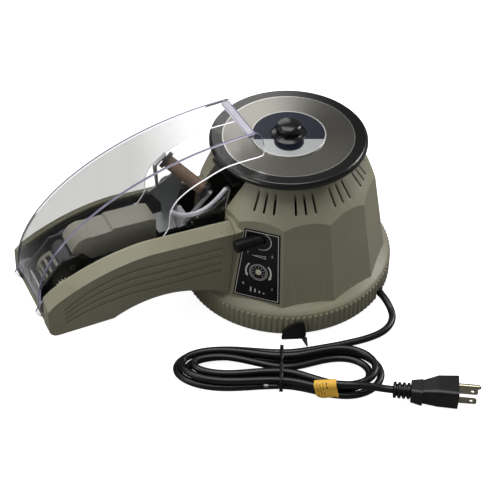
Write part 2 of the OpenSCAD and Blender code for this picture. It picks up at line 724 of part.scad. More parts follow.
module tape_guard() {
    rim = arc_through([-135, 141], [-112, 129.5], [-top_r - 16, shoulder_top + 1], 16);
    low = arc_through([-133, 137], [-112, 126.2], [-top_r - 14, shoulder_top - 4], 16);
    color("#dfe6ea", 0.4) {
        side_slab(-27, -24) polygon(concat([for (p = low) p + [0, 0.5]],
            [[-top_r - 35, chassis_floor + chassis_t], [-118, chassis_floor + chassis_t]]));
        side_slab(-27.4, -23) polygon(concat(rim, [for (i = [16:-1:0]) low[i]]));
    }
}

/* Clear cover on its two hinge screws */
cover_front = -268;
crown = [cover_front + cover_len, 85];
function cover_curve(t, inset) = crown + [-(cover_len - inset) * cos(t), (cover_rise - inset) * sin(t)];
cover_top = [for (i = [0:40]) cover_curve(i * 90 / 40, 0)];
// Points of the skirt's lower edge: a share of the cover's length behind its front, and a height
function skirt_at(share, z) = [cover_front + share * cover_len, z];
skirt_low = concat([crown + [10, cover_rise], crown + [15.5, cover_rise - 5],
    crown + [19, cover_rise - 13.5], skirt_at(1.094, reel_top + 12), skirt_at(1.077, reel_top + 10.2),
    skirt_at(0.971, reel_top + 10.6), skirt_at(0.894, reel_top + 9.6),
    skirt_at(0.817, reel_top + 4.6), skirt_at(0.75, reel_top - 0.5)],
    arc_through(skirt_at(0.726, 163.6), skirt_at(0.668, 154), skirt_at(0.635, 142), 6),
    [skirt_at(0.625, 126), skirt_at(0.587, 114.5), skirt_at(0.303, 111.5), [-224, 108.5], [-244, 92]],
    [for (i = [0:8]) hinge + ear_r * [cos(10 - i * 22.5), sin(10 - i * 22.5)]]);
module cover_solid() {
    side_slab(-cover_half, cover_half) polygon(concat(cover_top, skirt_low));
}
module clear_cover() {
    color("#dfe6ea", 0.35) difference() {
        cover_solid();
        side_slab(-cover_half + cover_t, cover_half - cover_t) polygon(concat(
            [for (i = [0:40]) cover_curve(i * 90 / 40, cover_t)],
            [crown + [30, cover_rise - 1], crown + [60, 15], [-200, 20], [-300, 20], [-300, 85]]));
        for (y = [-cover_half - 1, cover_half - cover_t - 1]) y_rod(hinge[0], hinge[1], bush_r,
            y, y + cover_t + 2);
    }
}
bush_r = 9;
module cover_bushes() {
    color("#77797a") for (s = [-1, 1]) difference() {
        y_rod(hinge[0], hinge[1], bush_r, s * (cover_half - cover_t / 2 - 0.25) - cover_t / 2 - 0.25,
            s * (cover_half - cover_t / 2 - 0.25) + cover_t / 2 + 0.25);
        y_rod(hinge[0], hinge[1], pivot_r + run_fit, -40, 40);
    }
}
module hinge_screws() {
    color("#d5d7da") for (s = [-1, 1]) mirror([0, s < 0 ? 1 : 0, 0]) difference() {
        union() {
            y_rod(hinge[0], hinge[1], pivot_r, 26, chassis_half);
            y_rod(hinge[0], hinge[1], 6, 24.2, cover_half - cover_t - 0.8);
        }
        for (a = [0, 90]) translate([hinge[0], 23, hinge[1]]) rotate([0, a, 0])
            cube([7, 5, 1.2], center = true);
    }
}

/* Reel */
platter_z = shoulder_top - 3;
module reel_platter() {
    color("#1c1d1f") difference() {
        union() {
            translate([0, 0, platter_z]) cylinder(h = 3, r = reel_bore - 1);
            translate([0, 0, platter_z]) cylinder(h = reel_top - 3 - gap - platter_z, r = hub_r);
        }
        translate([0, 0, platter_z + 3]) cylinder(h = 30, r = hub_r - 3);
        translate([0, 0, platter_z - 1]) cylinder(h = 30, r = spindle_r);
    }
}
reel_under = reel_top - reel_rim;
module reel_spindle() {
    color("#b9bcc0") translate([0, 0, 100]) cylinder(h = reel_top + 4 - 100, r = spindle_r);
}
module reel_plate() {
    color("#3a3b3d") difference() {
        rotate_extrude() polygon([[spindle_r + 0.4, reel_top - 3], [hub_r + 1.5, reel_top - 3],
            [hub_r + 3, reel_under], [reel_r - 6, reel_under + 2.6], [reel_r - 1, reel_under],
            [reel_r, reel_under + 1.5], [reel_r, reel_top - 2.5], [reel_r - 2.5, reel_top],
            [spindle_r + 0.4, reel_top]]);
    }
}
module reel_badge() {
    color("#8e9299") translate([0, 0, reel_top]) difference() {
        cylinder(h = 2, r = 35.5);
        translate([0, 0, -1]) cylinder(h = 4, r = 17.2);
    }
}
module lock_knob() {
    color("#17181a") translate([0, 0, reel_top + 0.2]) difference() {
        rotate_extrude() polygon(concat([[0, 0], [16.8, 0], [16.8, 1.4], [15.4, 2.2], [knob_r - 0.6, 2.2],
            [knob_r - 1.2, 5], [knob_r, 8]], arc_through([knob_r, knob_h - 3], [knob_r - 4, knob_h - 0.7],
            [0, knob_h], 6)));
        translate([0, 0, -1]) cylinder(h = 6, r = spindle_r + 0.3);
    }
}
module spindle_bearing() {
    color("#9a9da1") difference() {
        union() {
            translate([0, 0, 96]) cylinder(h = 46, r = 12);
            translate([0, 0, 134]) cylinder(h = 8, r = 45);
            for (a = [30, 150, 270]) rotate(a) translate([38, -5, foot_gap + plate_t + 0.05])
                cube([8, 10, 136]);
        }
        translate([0, 0, 100]) cylinder(h = 60, r = spindle_r + run_fit);
        translate([0, 0, 95]) cylinder(h = 60, r = 3);
    }
}
module transformer() {
    color("#54565a") translate([-8, 4, foot_gap + plate_t]) cube([26, 30, 34]);
    color("#b5702f") translate([-11, 8, foot_gap + plate_t + 7]) cube([32, 22, 20]);
}
module shell_screws() {
    color("#b9bcc0") for (p = shell_bosses, s = [-1, 1]) mirror([0, s < 0 ? 1 : 0, 0]) {
        y_rod(p[0], p[1], 1.5, chassis_half - chassis_t - 0.2, arm_half - 6);
        y_rod(p[0], p[1], 3, chassis_half - chassis_t - 1.6, chassis_half - chassis_t);
    }
}

/* Cord: gland, lead, hank, tail, and what is on it */
cord_low = cord_d / 2 + 0.1;
cord_lift = cord_d + 0.5;
// The hank winds inward on the table, climbs a layer on its innermost run and winds out again
hank_at = [-75, -134];
hank_turn = -28.5;
hank_start = 70;
hank_climb = 810;
hank_end = 1365;
hank_half_len = 80;
hank_waist = 1.8;
hank_right_swell = 32;
hank_left_swell = 15;
hank_neck = 52;
function hank_bulge(x) = hank_waist
    + (x > 0 ? hank_right_swell : hank_left_swell) * (1 - exp(-pow(x / hank_neck, 2)));
function climbed(a) = let (t = max(0, min(1, (a - hank_climb + 50) / 100))) t * t * (3 - 2 * t);
function hank_local(a) = let (off = hank_step * abs(a - hank_climb) / 360)
    [(hank_half_len + off) * cos(a), sin(a) * (hank_bulge(hank_half_len * cos(a)) + off),
     cord_low + cord_lift * climbed(a)];
function on_table(p) = [hank_at[0] + p[0] * cos(hank_turn) - p[1] * sin(hank_turn),
    hank_at[1] + p[0] * sin(hank_turn) + p[1] * cos(hank_turn), p[2]];
function hank_point(a) = on_table(hank_local(a));
function unit(v) = v / norm(v);
hank_first = hank_point(hank_start);
hank_last = hank_point(hank_end);
hank_in = hank_first - cord_d * unit(hank_point(hank_start + 2) - hank_first);
hank_out = hank_last + cord_d * unit(hank_last - hank_point(hank_end - 2));
hank_path = concat([hank_in], [for (a = [hank_start:15:hank_end]) hank_point(a)],
    [hank_last, hank_out]);
plug_at = [2.8, -206.2, 11.2];
plug_turn = -33;
// The lead runs from the gland to the hank, and the tail from the hank to the plug
lead_points = concat([[60, -90, 8], [60, -97, 8], [60, -104, 6.6], [59.2, -111.5, 4.6],
    [56.6, -118.6, 3.8], [52, -124.6, 3.6], [46, -129.2, 3.6], [39, -132.2, 3.6],
    [31.5, -133.6, 3.6], [24, -133.9, 3.6], [16.5, -133.5, 3.6], [9, -132.6, 3.6],
    [1.5, -131.3, 3.6], [-7, -129.8, 3.6], [-15, -128.1, 3.6]], [hank_in]);
tail_points = concat([hank_out, hank_out + 1.6 * unit(hank_out - hank_last)],
    [[-52.9, -174.7, 14.8], [-45.7, -179.8, 16.8],
    [-40.5, -183.4, 17.4], [-32.6, -188, 17.3], [-25.9, -191.2, 16.6], [-19.2, -194.3, 15.2],
    [-12.3, -197.4, 13.6], [-5.5, -201, 11.9]], [for (back = [1.8, 0])
    plug_at - back * [cos(plug_turn), sin(plug_turn), 0]]);

// A round tube along points, with rings square to the path
function heading(pts, i) = let (n = len(pts))
    unit(pts[min(i + 1, n - 1)] - pts[max(i - 1, 0)]);
function ring_at(p, h, r, sides) = let (s = unit(cross(h, [0, 0, 1])), u = cross(s, h))
    [for (k = [0:sides - 1]) let (a = (k + 0.5) * 360 / sides) p + r * (cos(a) * s + sin(a) * u)];
module tube(pts, r, sides) {
    n = len(pts);
    rings = [for (i = [0:n - 1]) each ring_at(pts[i], heading(pts, i), r, sides)];
    walls = [for (i = [0:n - 2], k = [0:sides - 1]) let (a = i * sides + k,
        b = i * sides + (k + 1) % sides) each [[a, b, b + sides], [a, b + sides, a + sides]]];
    polyhedron(rings, concat([[for (k = [sides - 1:-1:0]) k]], walls,
        [[for (k = [0:sides - 1]) (n - 1) * sides + k]]), convexity = 10);
}
// The least gap between strands of the hank, measured on its points
function strand_gap(step) = min([for (a = [hank_start:step:hank_end - 90])
    for (b = [a + 90:step:hank_end]) norm(hank_point(a) - hank_point(b))]) - cord_d;
echo(str("least gap between strands of the hank: ", strand_gap(7.5), " mm"));

cord_black = "#17181a";
module cord_lead() { color(cord_black) tube(lead_points, cord_d / 2, 10); }
module cord_hank() { color(cord_black) tube(hank_path, cord_d / 2, 6); }
module cord_tail() { color(cord_black) tube(tail_points, cord_d / 2, 10); }
module cord_gland() {
    color("#1c1d1f") translate([cord_x, cord_exit_y, cord_z]) rotate([-90, 0, 0])
        cylinder(h = gland_len, r1 = cord_d / 2 + 0.3, r2 = gland_r);
}
tie_w = 4;
tie_t = 0.8;
// A wire tie bridges the waist of the hank
module hank_tie() {
    r = cord_d / 2;
    high = cord_low + cord_lift + r + 0.6;
    far_side = hank_local(hank_climb - 720)[1] + r + 0.7;
    near_side = -hank_local(hank_climb + 540)[1] + r + 0.7;
    outer = [[-near_side, 0], [-near_side, high - 2], [2 - near_side, high],
        [far_side - 13, high], [far_side, cord_d], [far_side, 0]];
    n = len(outer);
    color("#55585c") translate([hank_at[0], hank_at[1], 0]) rotate(hank_turn)
        translate([-tie_w / 2, 0, 0]) rotate([90, 0, 90]) linear_extrude(tie_w)
        polygon(concat([[-near_side - tie_t, 0], [-near_side - tie_t, high - 1.7],
            [1.7 - near_side, high + tie_t], [far_side - 12.7, high + tie_t],
            [far_side + tie_t, cord_d + 0.4], [far_side + tie_t, 0]],
            [for (i = [n - 1:-1:0]) outer[i]]));
}
// A paper tag folded over the tail, its leaf hanging to the table on the operator's side
tag_from = [-59, -170.2, 12.1];
tag_to = [-42.5, -182.1, 17.5];
tag_t = 0.4;
module cord_tag() {
    v = tag_to - tag_from;
    r = cord_d / 2 + 1.1;
    fold = [for (i = [0:10]) [cos(60 + 13 * i), sin(60 + 13 * i)]];
    color("#e0b23a") translate(tag_from) rotate([0, -asin(v[2] / norm(v)), atan2(v[1], v[0])])
        rotate([90, 0, 90]) linear_extrude(norm(v)) polygon(concat([for (p = fold) (r + tag_t) * p],
            [[-r - 0.7, -5], [-r - 1.4, -11.6], [-r - 1, -11.6], [-r - 0.3, -5]],
            [for (i = [10:-1:0]) r * fold[i]]));
}

/* Plug: grounded, with two flat blades and a round pin, lying on its side */
relief_len = 17;
plug_len = 59.5;
collar_r = 10.5;
blade_gap = 12.7;
blade_out = 17.4;
blade_wide = 6.3;
pin_side = 11.9;
pin_out = 21.4;
module on_plug() {
    translate(plug_at) rotate([0, 0, plug_turn]) children();
}
module plug_section(x, wide, high, r) {
    translate([x, 0, 0]) rotate([90, 0, 90]) linear_extrude(1) for (s = [-1, 1])
        for (y = [-wide[0] + r, wide[1] - r]) translate([y, s * (high - r)])
            circle(r, $fn = 32);
}
module plug_body() {
    ribs = 4;
    rib_step = relief_len / ribs;
    color(cord_black) on_plug() {
        rotate([0, 90, 0]) rotate_extrude() polygon(concat([[0, 0]],
            [for (i = [0:ribs - 1]) each [[6.8, i * rib_step + 0.2], [7.6, i * rib_step + 0.9],
                [7.6, i * rib_step + 2.4], [6.8, i * rib_step + 3], [5.6, i * rib_step + 3.3],
                [5.6, (i + 1) * rib_step]]], [[0, relief_len]]));
        hull() {
            plug_section(relief_len - 0.5, [8.6, 8.6], 8.4, 4);
            plug_section(relief_len + 9, [collar_r, 9.6], 9.6, 4);
        }
        hull() {
            plug_section(relief_len + 9, [8.4, 9], 8.6, 4);
            plug_section(relief_len + 24, [9.6, 15.4], 10.8, 5);
            plug_section(plug_len - 1, [9.8, 16.6], 11, 4.5);
        }
    }
}
module plug_pins() {
    color("#c8b37a") on_plug() {
        for (s = [-1, 1]) difference() {
            translate([plug_len, -blade_wide / 2, s * blade_gap / 2 - 0.75]) linear_extrude(1.5)
                polygon([[0, 0], [blade_out - 1.6, 0], [blade_out, 1.6],
                    [blade_out, blade_wide - 1.6], [blade_out - 1.6, blade_wide], [0, blade_wide]]);
            translate([plug_len + blade_out - 5, 0, s * blade_gap / 2 - 2]) cylinder(h = 4, r = 1.6);
        }
        translate([plug_len, pin_side - 0.5, 0]) rotate([0, 90, 0]) rotate_extrude()
            polygon([[0, 0], [2.4, 0], [2.4, pin_out - 2], [1.2, pin_out], [0, pin_out]]);
    }
}

base_ring();
base_plate();
base_screws();
suction_foot(foot_angles[0]);  // suction_foot_front
suction_foot(foot_angles[1]);  // suction_foot_far
suction_foot(foot_angles[2]);  // suction_foot_rear
arm_pad();
drum_housing();
control_label();
arm_shell_near();
arm_shell_far();
arm_belly();
arm_chassis();
shell_screws();
tape_hood();
turn_bracket();
tape_guard();
outlet_grille();
fixed_blade();
feed_motor();
cutter_motor();
transformer();
circuit_board();
spindle_bearing();
hinge_screws();
reel_platter();
reel_spindle();
reel_plate();
reel_badge();
lock_knob();
clear_cover();
cover_bushes();
width_knob();
width_shaft();
width_guide();
length_trimmer();
feed_roller();
feed_shaft();
feed_gear();
idler_gear();
motor_pinion();
pressure_roller();
blade_pinion();
moving_blade();
turn_roller();
cord_gland();
cord_lead();
cord_hank();
cord_tail();
hank_tie();
cord_tag();
plug_body();
plug_pins();
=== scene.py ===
# %% [markdown]
# A carousel tape dispenser, dressed for its picture. The solids come packed from the drawing: a
# round housing with a fluted foot, a reel, an arm with a feed and a cutter, a clear cover and a
# cord. This lesson gives each of them its real finish and adds what a drawing leaves out, such as
# the cord's smooth line, the printed label and the paper tag.
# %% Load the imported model
import json
import math
import bmesh
import bpy
from mathutils import Matrix, Vector

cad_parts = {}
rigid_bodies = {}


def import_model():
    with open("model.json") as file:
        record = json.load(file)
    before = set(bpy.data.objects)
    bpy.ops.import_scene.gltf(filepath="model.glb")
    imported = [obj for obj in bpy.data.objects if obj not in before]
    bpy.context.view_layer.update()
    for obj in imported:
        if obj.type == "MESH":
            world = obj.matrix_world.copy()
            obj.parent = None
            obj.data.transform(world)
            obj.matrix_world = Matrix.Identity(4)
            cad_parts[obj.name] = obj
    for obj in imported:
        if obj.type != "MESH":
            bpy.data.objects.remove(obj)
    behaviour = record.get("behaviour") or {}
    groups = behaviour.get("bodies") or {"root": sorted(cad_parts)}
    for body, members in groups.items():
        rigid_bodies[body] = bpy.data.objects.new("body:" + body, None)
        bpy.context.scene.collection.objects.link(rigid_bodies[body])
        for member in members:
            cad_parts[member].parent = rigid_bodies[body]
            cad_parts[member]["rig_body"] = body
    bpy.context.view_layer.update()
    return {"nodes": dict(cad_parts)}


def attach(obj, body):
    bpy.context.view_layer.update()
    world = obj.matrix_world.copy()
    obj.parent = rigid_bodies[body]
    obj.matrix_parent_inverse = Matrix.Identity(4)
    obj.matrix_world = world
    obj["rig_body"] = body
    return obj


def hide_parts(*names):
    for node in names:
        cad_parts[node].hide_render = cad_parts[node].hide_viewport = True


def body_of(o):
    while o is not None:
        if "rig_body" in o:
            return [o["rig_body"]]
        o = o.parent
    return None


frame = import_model()
NODES = frame["nodes"]
MM = 0.001

# %% [markdown]
# The camera stands where the photographer's did. Its place is written as an azimuth and an
# elevation round the reel's axis, with a long lens, because those are the numbers a photographer
# could check. The aim is slid sideways and up by a few centimetres, which frames the long arm.
# %% The camera
AZIMUTH = math.radians(-26.61)
ELEVATION = math.radians(42.43)
DISTANCE = 1.2067
SENSOR_MM = 36
LENS_MM = 87.55
AIM_HEIGHT = 0.080
SLIDE_RIGHT = -0.03656
SLIDE_UP = -0.0460


def place_camera():
    right = Vector((math.cos(AZIMUTH), math.sin(AZIMUTH), 0))
    back = Vector((math.sin(AZIMUTH) * math.cos(ELEVATION),
                   -math.cos(AZIMUTH) * math.cos(ELEVATION), math.sin(ELEVATION)))
    up = back.cross(right)
    aim = Vector((0, 0, AIM_HEIGHT)) + SLIDE_RIGHT * right + SLIDE_UP * up
    data = bpy.data.cameras.new("camera")
    data.sensor_width = SENSOR_MM
    data.lens = LENS_MM
    camera = bpy.data.objects.new("camera", data)
    bpy.context.scene.collection.objects.link(camera)
    turn = Matrix((right, up, back)).transposed().to_4x4()
    camera.matrix_world = Matrix.Translation(aim + DISTANCE * back) @ turn
    bpy.context.scene.camera = camera
    return camera


camera = place_camera()
print("camera at", [round(v, 3) for v in camera.matrix_world.translation])

# %% [markdown]
# Colours are written as the hex values that a paint chart or a picture editor shows. Blender wants
# linear light, so one function turns each hex value to linear. A second small function adds a node
# to a material, sets it up and plugs it in, so that each finish below reads as a short recipe.
# %% Colours and nodes


def linear(hex_value):
    parts = [int(hex_value[i:i + 2], 16) / 255 for i in (1, 3, 5)]
    return (*[p / 12.92 if p <= 0.04045 else ((p + 0.055) / 1.055) ** 2.4 for p in parts], 1.0)


def add(tree, kind, inputs=None, **settings):
    """Adds one node. Inputs are values, or the sockets that feed it; settings are its options."""
    made = tree.nodes.new("ShaderNode" + kind)
    for key, value in settings.items():
        setattr(made, key, value)
    for key, value in (inputs or {}).items():
        if isinstance(value, bpy.types.NodeSocket):
            tree.links.new(value, made.inputs[key])
        else:
            made.inputs[key].default_value = value
    return made


def finish(name, hex_value, roughness, metallic=0.0, **sockets):
    """A new material with a plain surface shader. Other sockets are given by their names."""
    made = bpy.data.materials.new(name)
    made.use_nodes = True
    tree = made.node_tree
    tree.nodes.clear()
    values = {"Base Color": linear(hex_value), "Roughness": roughness, "Metallic": metallic}
    values.update({key.replace("_", " "): value for key, value in sockets.items()})
    shader = add(tree, "BsdfPrincipled", values)
    add(tree, "OutputMaterial", {"Surface": shader.outputs[0]})
    return made, tree, shader


def ramp(tree, fac, low_hex, high_hex, low=0.0, high=1.0):
    """A two-colour ramp driven by a socket."""
    made = add(tree, "ValToRGB", {"Fac": fac})
    made.color_ramp.elements[0].position = low
    made.color_ramp.elements[0].color = linear(low_hex)
    made.color_ramp.elements[1].position = high
    made.color_ramp.elements[1].color = linear(high_hex)
    return made.outputs[0]


print("khaki in linear light:", [round(v, 3) for v in linear("#8b8871")])

# %% [markdown]
# The object is cut out against pure white, as in a catalogue, but the room it was lit in was not
# white: its blacks are deep and its undersides dark. So the floor and the world are white where the
# camera looks at them, straight or through the clear sheet, and much darker to every other ray.
# %% Floor and world
FLOOR_SIDE = 14.0
FLOOR_GLOW = 0.9
FLOOR_TONE = 0.6
FLOOR_TO_OTHERS = 0.18
WORLD_TO_CAMERA = 1.05
WORLD_TO_GLOSS = 0.12
WORLD_TO_OTHERS = 0.25


def seen_by_camera(tree):
    """One where the camera looks at this surface, straight or through clear plastic."""
    path = add(tree, "LightPath")
    return add(tree, "Math", {0: path.outputs["Is Camera Ray"],
                              1: path.outputs["Is Transmission Ray"]},
               operation="MAXIMUM").outputs[0]


def make_floor():
    half = FLOOR_SIDE / 2
    mesh = bpy.data.meshes.new("floor")
    mesh.from_pydata([(-half, -half, 0), (half, -half, 0), (half, half, 0), (-half, half, 0)],
                     [], [(0, 1, 2, 3)])
    floor = bpy.data.objects.new("floor", mesh)
    bpy.context.scene.collection.objects.link(floor)
    paper = bpy.data.materials.new("paper_sweep_matt_white")
    paper.use_nodes = True
    tree = paper.node_tree
    tree.nodes.clear()
    seen = seen_by_camera(tree)
    tone = add(tree, "MapRange", {"Value": seen, "To Min": FLOOR_TO_OTHERS,
                                  "To Max": FLOOR_TONE})
    matt = add(tree, "BsdfDiffuse", {"Color": tone.outputs[0]})
    strength = add(tree, "Math", {0: seen, 1: FLOOR_GLOW}, operation="MULTIPLY")
    glow = add(tree, "Emission", {"Color": (1, 1, 1, 1), "Strength": strength.outputs[0]})
    both = add(tree, "AddShader", {0: matt.outputs[0], 1: glow.outputs[0]})
    add(tree, "OutputMaterial", {"Surface": both.outputs[0]})
    mesh.materials.append(paper)


def make_world():
    world = bpy.data.worlds.new("studio")
    bpy.context.scene.world = world
    world.use_nodes = True
    tree = world.node_tree
    tree.nodes.clear()
    path = add(tree, "LightPath")
    others = add(tree, "MapRange", {"Value": path.outputs["Is Glossy Ray"],
                                    "To Min": WORLD_TO_OTHERS, "To Max": WORLD_TO_GLOSS})
    level = add(tree, "MapRange", {"Value": seen_by_camera(tree), "To Min": others.outputs[0],
                                   "To Max": WORLD_TO_CAMERA})
    air = add(tree, "Background", {"Color": (1, 1, 1, 1), "Strength": level.outputs[0]})
    add(tree, "OutputWorld", {"Surface": air.outputs[0]})


make_floor()
make_world()
scene = bpy.context.scene
scene.view_settings.view_transform = "Standard"
print("floor", FLOOR_SIDE, "m wide, white to the camera and", FLOOR_TO_OTHERS, "to the rest")

# %% [markdown]
# A large soft box overhead gives the light tops and the soft gradients. A second one behind and to
# the left stands where the flat plate mirrors it towards the camera, so the plate goes from light
# grey at the far left to dark at the near right. A faint one on the left lights the arm, and one on
# the right lights the flats of the housing that turn away from the others.
# %% Lamps


def soft_lamp(name, place, aim, side, watts):
    data = bpy.data.lights.new(name, "AREA")
    data.shape = "SQUARE"
    data.size = side
    data.energy = watts
    lamp = bpy.data.objects.new(name, data)
    bpy.context.scene.collection.objects.link(lamp)
    lamp.location = place
    lamp.rotation_euler = (Vector(aim) - Vector(place)).to_track_quat("-Z", "Y").to_euler()
    return lamp


soft_lamp("overhead_box", (-0.25, 0.15, 2.3), (-0.05, 0, 0.1), 2.0, 42)
soft_lamp("back_box", (0.38, 1.78, 1.0), (0, 0, 0.16), 1.15, 7)
soft_lamp("left_box", (-1.8, -0.3, 0.9), (-0.1, 0, 0.1), 0.8, 5)
soft_lamp("right_box", (1.7, -0.1, 1.0), (0, 0, 0.1), 0.7, 16)

# %% [markdown]
# The housing, the ring and the arm's shells are ABS, moulded in a spark-eroded tool, which leaves
# a fine satin grain of about a third of a millimetre. That gives the eye a soft, broad highlight
# and no mirror image. A flat colour would look like paint, so the grain is a shallow bump and the
# colour drifts by a few per cent, as it does across a real moulding. The hood over the tape and the
# grille are the same plastic in a darker, greyer copy, painted shade for their place down in the
# arm, and the lock knob is polished by the hand.
# %% Moulded ABS
DRIFT_MM = 60
GLOSS_DOWN, GLOSS_UP = 0.05, 0.06


def object_place(tree):
    return add(tree, "TexCoord").outputs["Object"]


def per_metre(size_mm):
    """The texture scale that makes a pattern of this size."""
    return 1000 / size_mm


def moulded(name, hex_value, hex_other, roughness, grain_mm=0.5, grain_deep=0.02, ior=1.5):
    made, tree, shader = finish(name, hex_value, roughness, IOR=ior)
    place = object_place(tree)
    drift = add(tree, "TexNoise", {"Vector": place, "Scale": per_metre(DRIFT_MM), "Detail": 2.0})
    tint = ramp(tree, drift.outputs["Fac"], hex_value, hex_other, 0.35, 0.7)
    tree.links.new(tint, shader.inputs["Base Color"])
    grain = add(tree, "TexNoise", {"Vector": place, "Scale": per_metre(grain_mm), "Detail": 3.0})
    sheen = add(tree, "MapRange", {"Value": grain.outputs["Fac"],
                                   "To Min": roughness - GLOSS_DOWN,
                                   "To Max": roughness + GLOSS_UP})
    tree.links.new(sheen.outputs[0], shader.inputs["Roughness"])
    bump = add(tree, "Bump", {"Height": grain.outputs["Fac"], "Strength": 0.6,
                              "Distance": grain_deep * MM})
    tree.links.new(bump.outputs[0], shader.inputs["Normal"])
    return made


khaki_abs = moulded("abs_moulded_khaki", "#8d8a73", "#868370", 0.42)
# A darker, greyer copy of the khaki: painted shade on the hood and the grille.
shaded_khaki_abs = moulded("abs_moulded_khaki_painted_shade", "#7c7a6f", "#727066", 0.45)
black_abs = moulded("abs_moulded_black", "#101113", "#0c0d0e", 0.34)
knob_abs = moulded("abs_moulded_black_polished", "#1a1a1c", "#161618", 0.2)
print("moulded:", [m.name for m in (khaki_abs, shaded_khaki_abs, black_abs, knob_abs)])

# %% [markdown]
# The reel's plate is turned aluminium under a thin black anodised layer. Turning leaves circular
# marks a few tenths of a millimetre apart, which stretch the highlight across the marks, so the
# shader is anisotropic about the axis. The face is dished by a few degrees, so its far side looks
# down at the back lamp and its near side up at the dark room. A bright step parts it from the rim.
# %% Turned and anodised plate
PLATE_FACE_R = 62.5
PLATE_MARK_MM = 0.9
PLATE_STEP_HALF = 0.5
PLATE_DISH = 0.11


def radius_of(tree, place):
    """Distance from the reel's axis at each point of the surface."""
    apart = add(tree, "SeparateXYZ", {"Vector": place})
    flat = add(tree, "CombineXYZ", {"X": apart.outputs["X"], "Y": apart.outputs["Y"]})
    return add(tree, "VectorMath", {0: flat.outputs[0]}, operation="LENGTH").outputs["Value"]


def turned_plate():
    made, tree, shader = finish("aluminium_turned_black_anodised", "#3a3a39", 0.34, 1.0,
                                Anisotropic=0.4)
    place = object_place(tree)
    radius = radius_of(tree, place)
    on_face = add(tree, "Math", {0: radius, 1: PLATE_FACE_R * MM}, operation="LESS_THAN")
    marks = add(tree, "TexNoise", {"W": radius, "Scale": per_metre(PLATE_MARK_MM), "Detail": 4.0},
                noise_dimensions="1D")
    face = ramp(tree, marks.outputs["Fac"], "#8b8982", "#9d9b93", 0.3, 0.7)
    mixed = add(tree, "Mix", {"Factor": on_face.outputs[0], "A": linear("#4b4b4a"), "B": face},
                data_type="RGBA")
    off_step = add(tree, "Math", {0: radius, 1: PLATE_FACE_R * MM}, operation="SUBTRACT")
    step_gap = add(tree, "Math", {0: off_step.outputs[0]}, operation="ABSOLUTE")
    step = add(tree, "Math", {0: step_gap.outputs[0], 1: PLATE_STEP_HALF * MM},
               operation="LESS_THAN")
    stepped = add(tree, "Mix", {"Factor": step.outputs[0], "A": mixed.outputs["Result"],
                                "B": linear("#d5d4cf")}, data_type="RGBA")
    tree.links.new(stepped.outputs["Result"], shader.inputs["Base Color"])
    gloss = add(tree, "MapRange", {"Value": on_face.outputs[0], "To Min": 0.26, "To Max": 0.28})
    tree.links.new(gloss.outputs[0], shader.inputs["Roughness"])
    around = add(tree, "Tangent", direction_type="RADIAL", axis="Z")
    tree.links.new(around.outputs[0], shader.inputs["Tangent"])
    fall = add(tree, "Math", {0: radius, 1: -PLATE_DISH}, operation="MULTIPLY")
    dished = add(tree, "Bump", {"Height": fall.outputs[0], "Strength": 1.0, "Distance": 1.0})
    bump = add(tree, "Bump", {"Height": marks.outputs["Fac"], "Strength": 0.35,
                              "Distance": 0.01 * MM, "Normal": dished.outputs[0]})
    tree.links.new(bump.outputs[0], shader.inputs["Normal"])
    return made


reel_black = turned_plate()
print("plate:", reel_black.name)

# %% [markdown]
# The cover and the tape guard are clear acrylic, 2 mm and 4 mm thick, sawn, flamed and folded.
# Clear plastic shows mostly what lies behind it, with a faint mirror image and lines along its
# edges. The sheet is a closed solid, and its shader is full transmission with a light grey tint
# that turns lighter towards the rear end, a painted reflection of the whitish mirror image there.
# Its broad faces get less than acrylic's 1.49, as their mirror image of the lamps is faint in the
# picture. Bent lips and polished rims are hazier, and pale and partly opaque as a painted
# highlight for the bright line they show. Sawn and folded edges pick up a violet grey, which turns
# to a painted white highlight where the rear of the skirt's rim catches the light.
# %% Clear acrylic
REFLECTION_FROM, REFLECTION_TO = -0.15, -0.085
WAVE_MM = 70
EDGE_VIOLET, EDGE_PAINTED_HIGHLIGHT = "#7f7b95", "#f4f4f7"
HIGHLIGHT_BEHIND, HIGHLIGHT_BELOW = -0.15, 0.186


def clear_sheet(name, tint, rear_painted_reflection, roughness, clear=1.0, ior=1.49):
    """Clear plastic, its tint darker over the arm and lighter towards the rear end as a painted
    reflection.
    """
    made, tree, shader = finish(name, tint, roughness, IOR=ior, Transmission_Weight=clear)
    place = object_place(tree)
    along = add(tree, "SeparateXYZ", {"Vector": place}).outputs["X"]
    # Painted reflection: the tint lightens from the arm to the rear end, standing in for the
    # sheet's whitish mirror image there.
    rear = add(tree, "MapRange", {"Value": along, "From Min": REFLECTION_FROM, "From Max": REFLECTION_TO})
    painted_reflection = ramp(tree, rear.outputs[0], tint, rear_painted_reflection)
    tree.links.new(painted_reflection, shader.inputs["Base Color"])
    wave = add(tree, "TexNoise", {"Vector": place, "Scale": per_metre(WAVE_MM), "Detail": 1.0})
    bump = add(tree, "Bump", {"Height": wave.outputs["Fac"], "Strength": 0.25,
                              "Distance": 0.4 * MM})
    tree.links.new(bump.outputs[0], shader.inputs["Normal"])
    return made


clear_acrylic = clear_sheet("acrylic_cast_clear", "#cfcfce", "#ecebec", 0.02, 1.0, 1.16)
clear_guard = clear_sheet("acrylic_cast_clear_thick", "#dcdcde", "#dcdcde", 0.04)
# Pale and partly opaque: a painted highlight along the lip and the guard's rounded rim.
lip_acrylic_painted_highlight = clear_sheet("acrylic_bent_lip_painted_highlight", "#dddde3", "#dddde3", 0.15, 0.55)


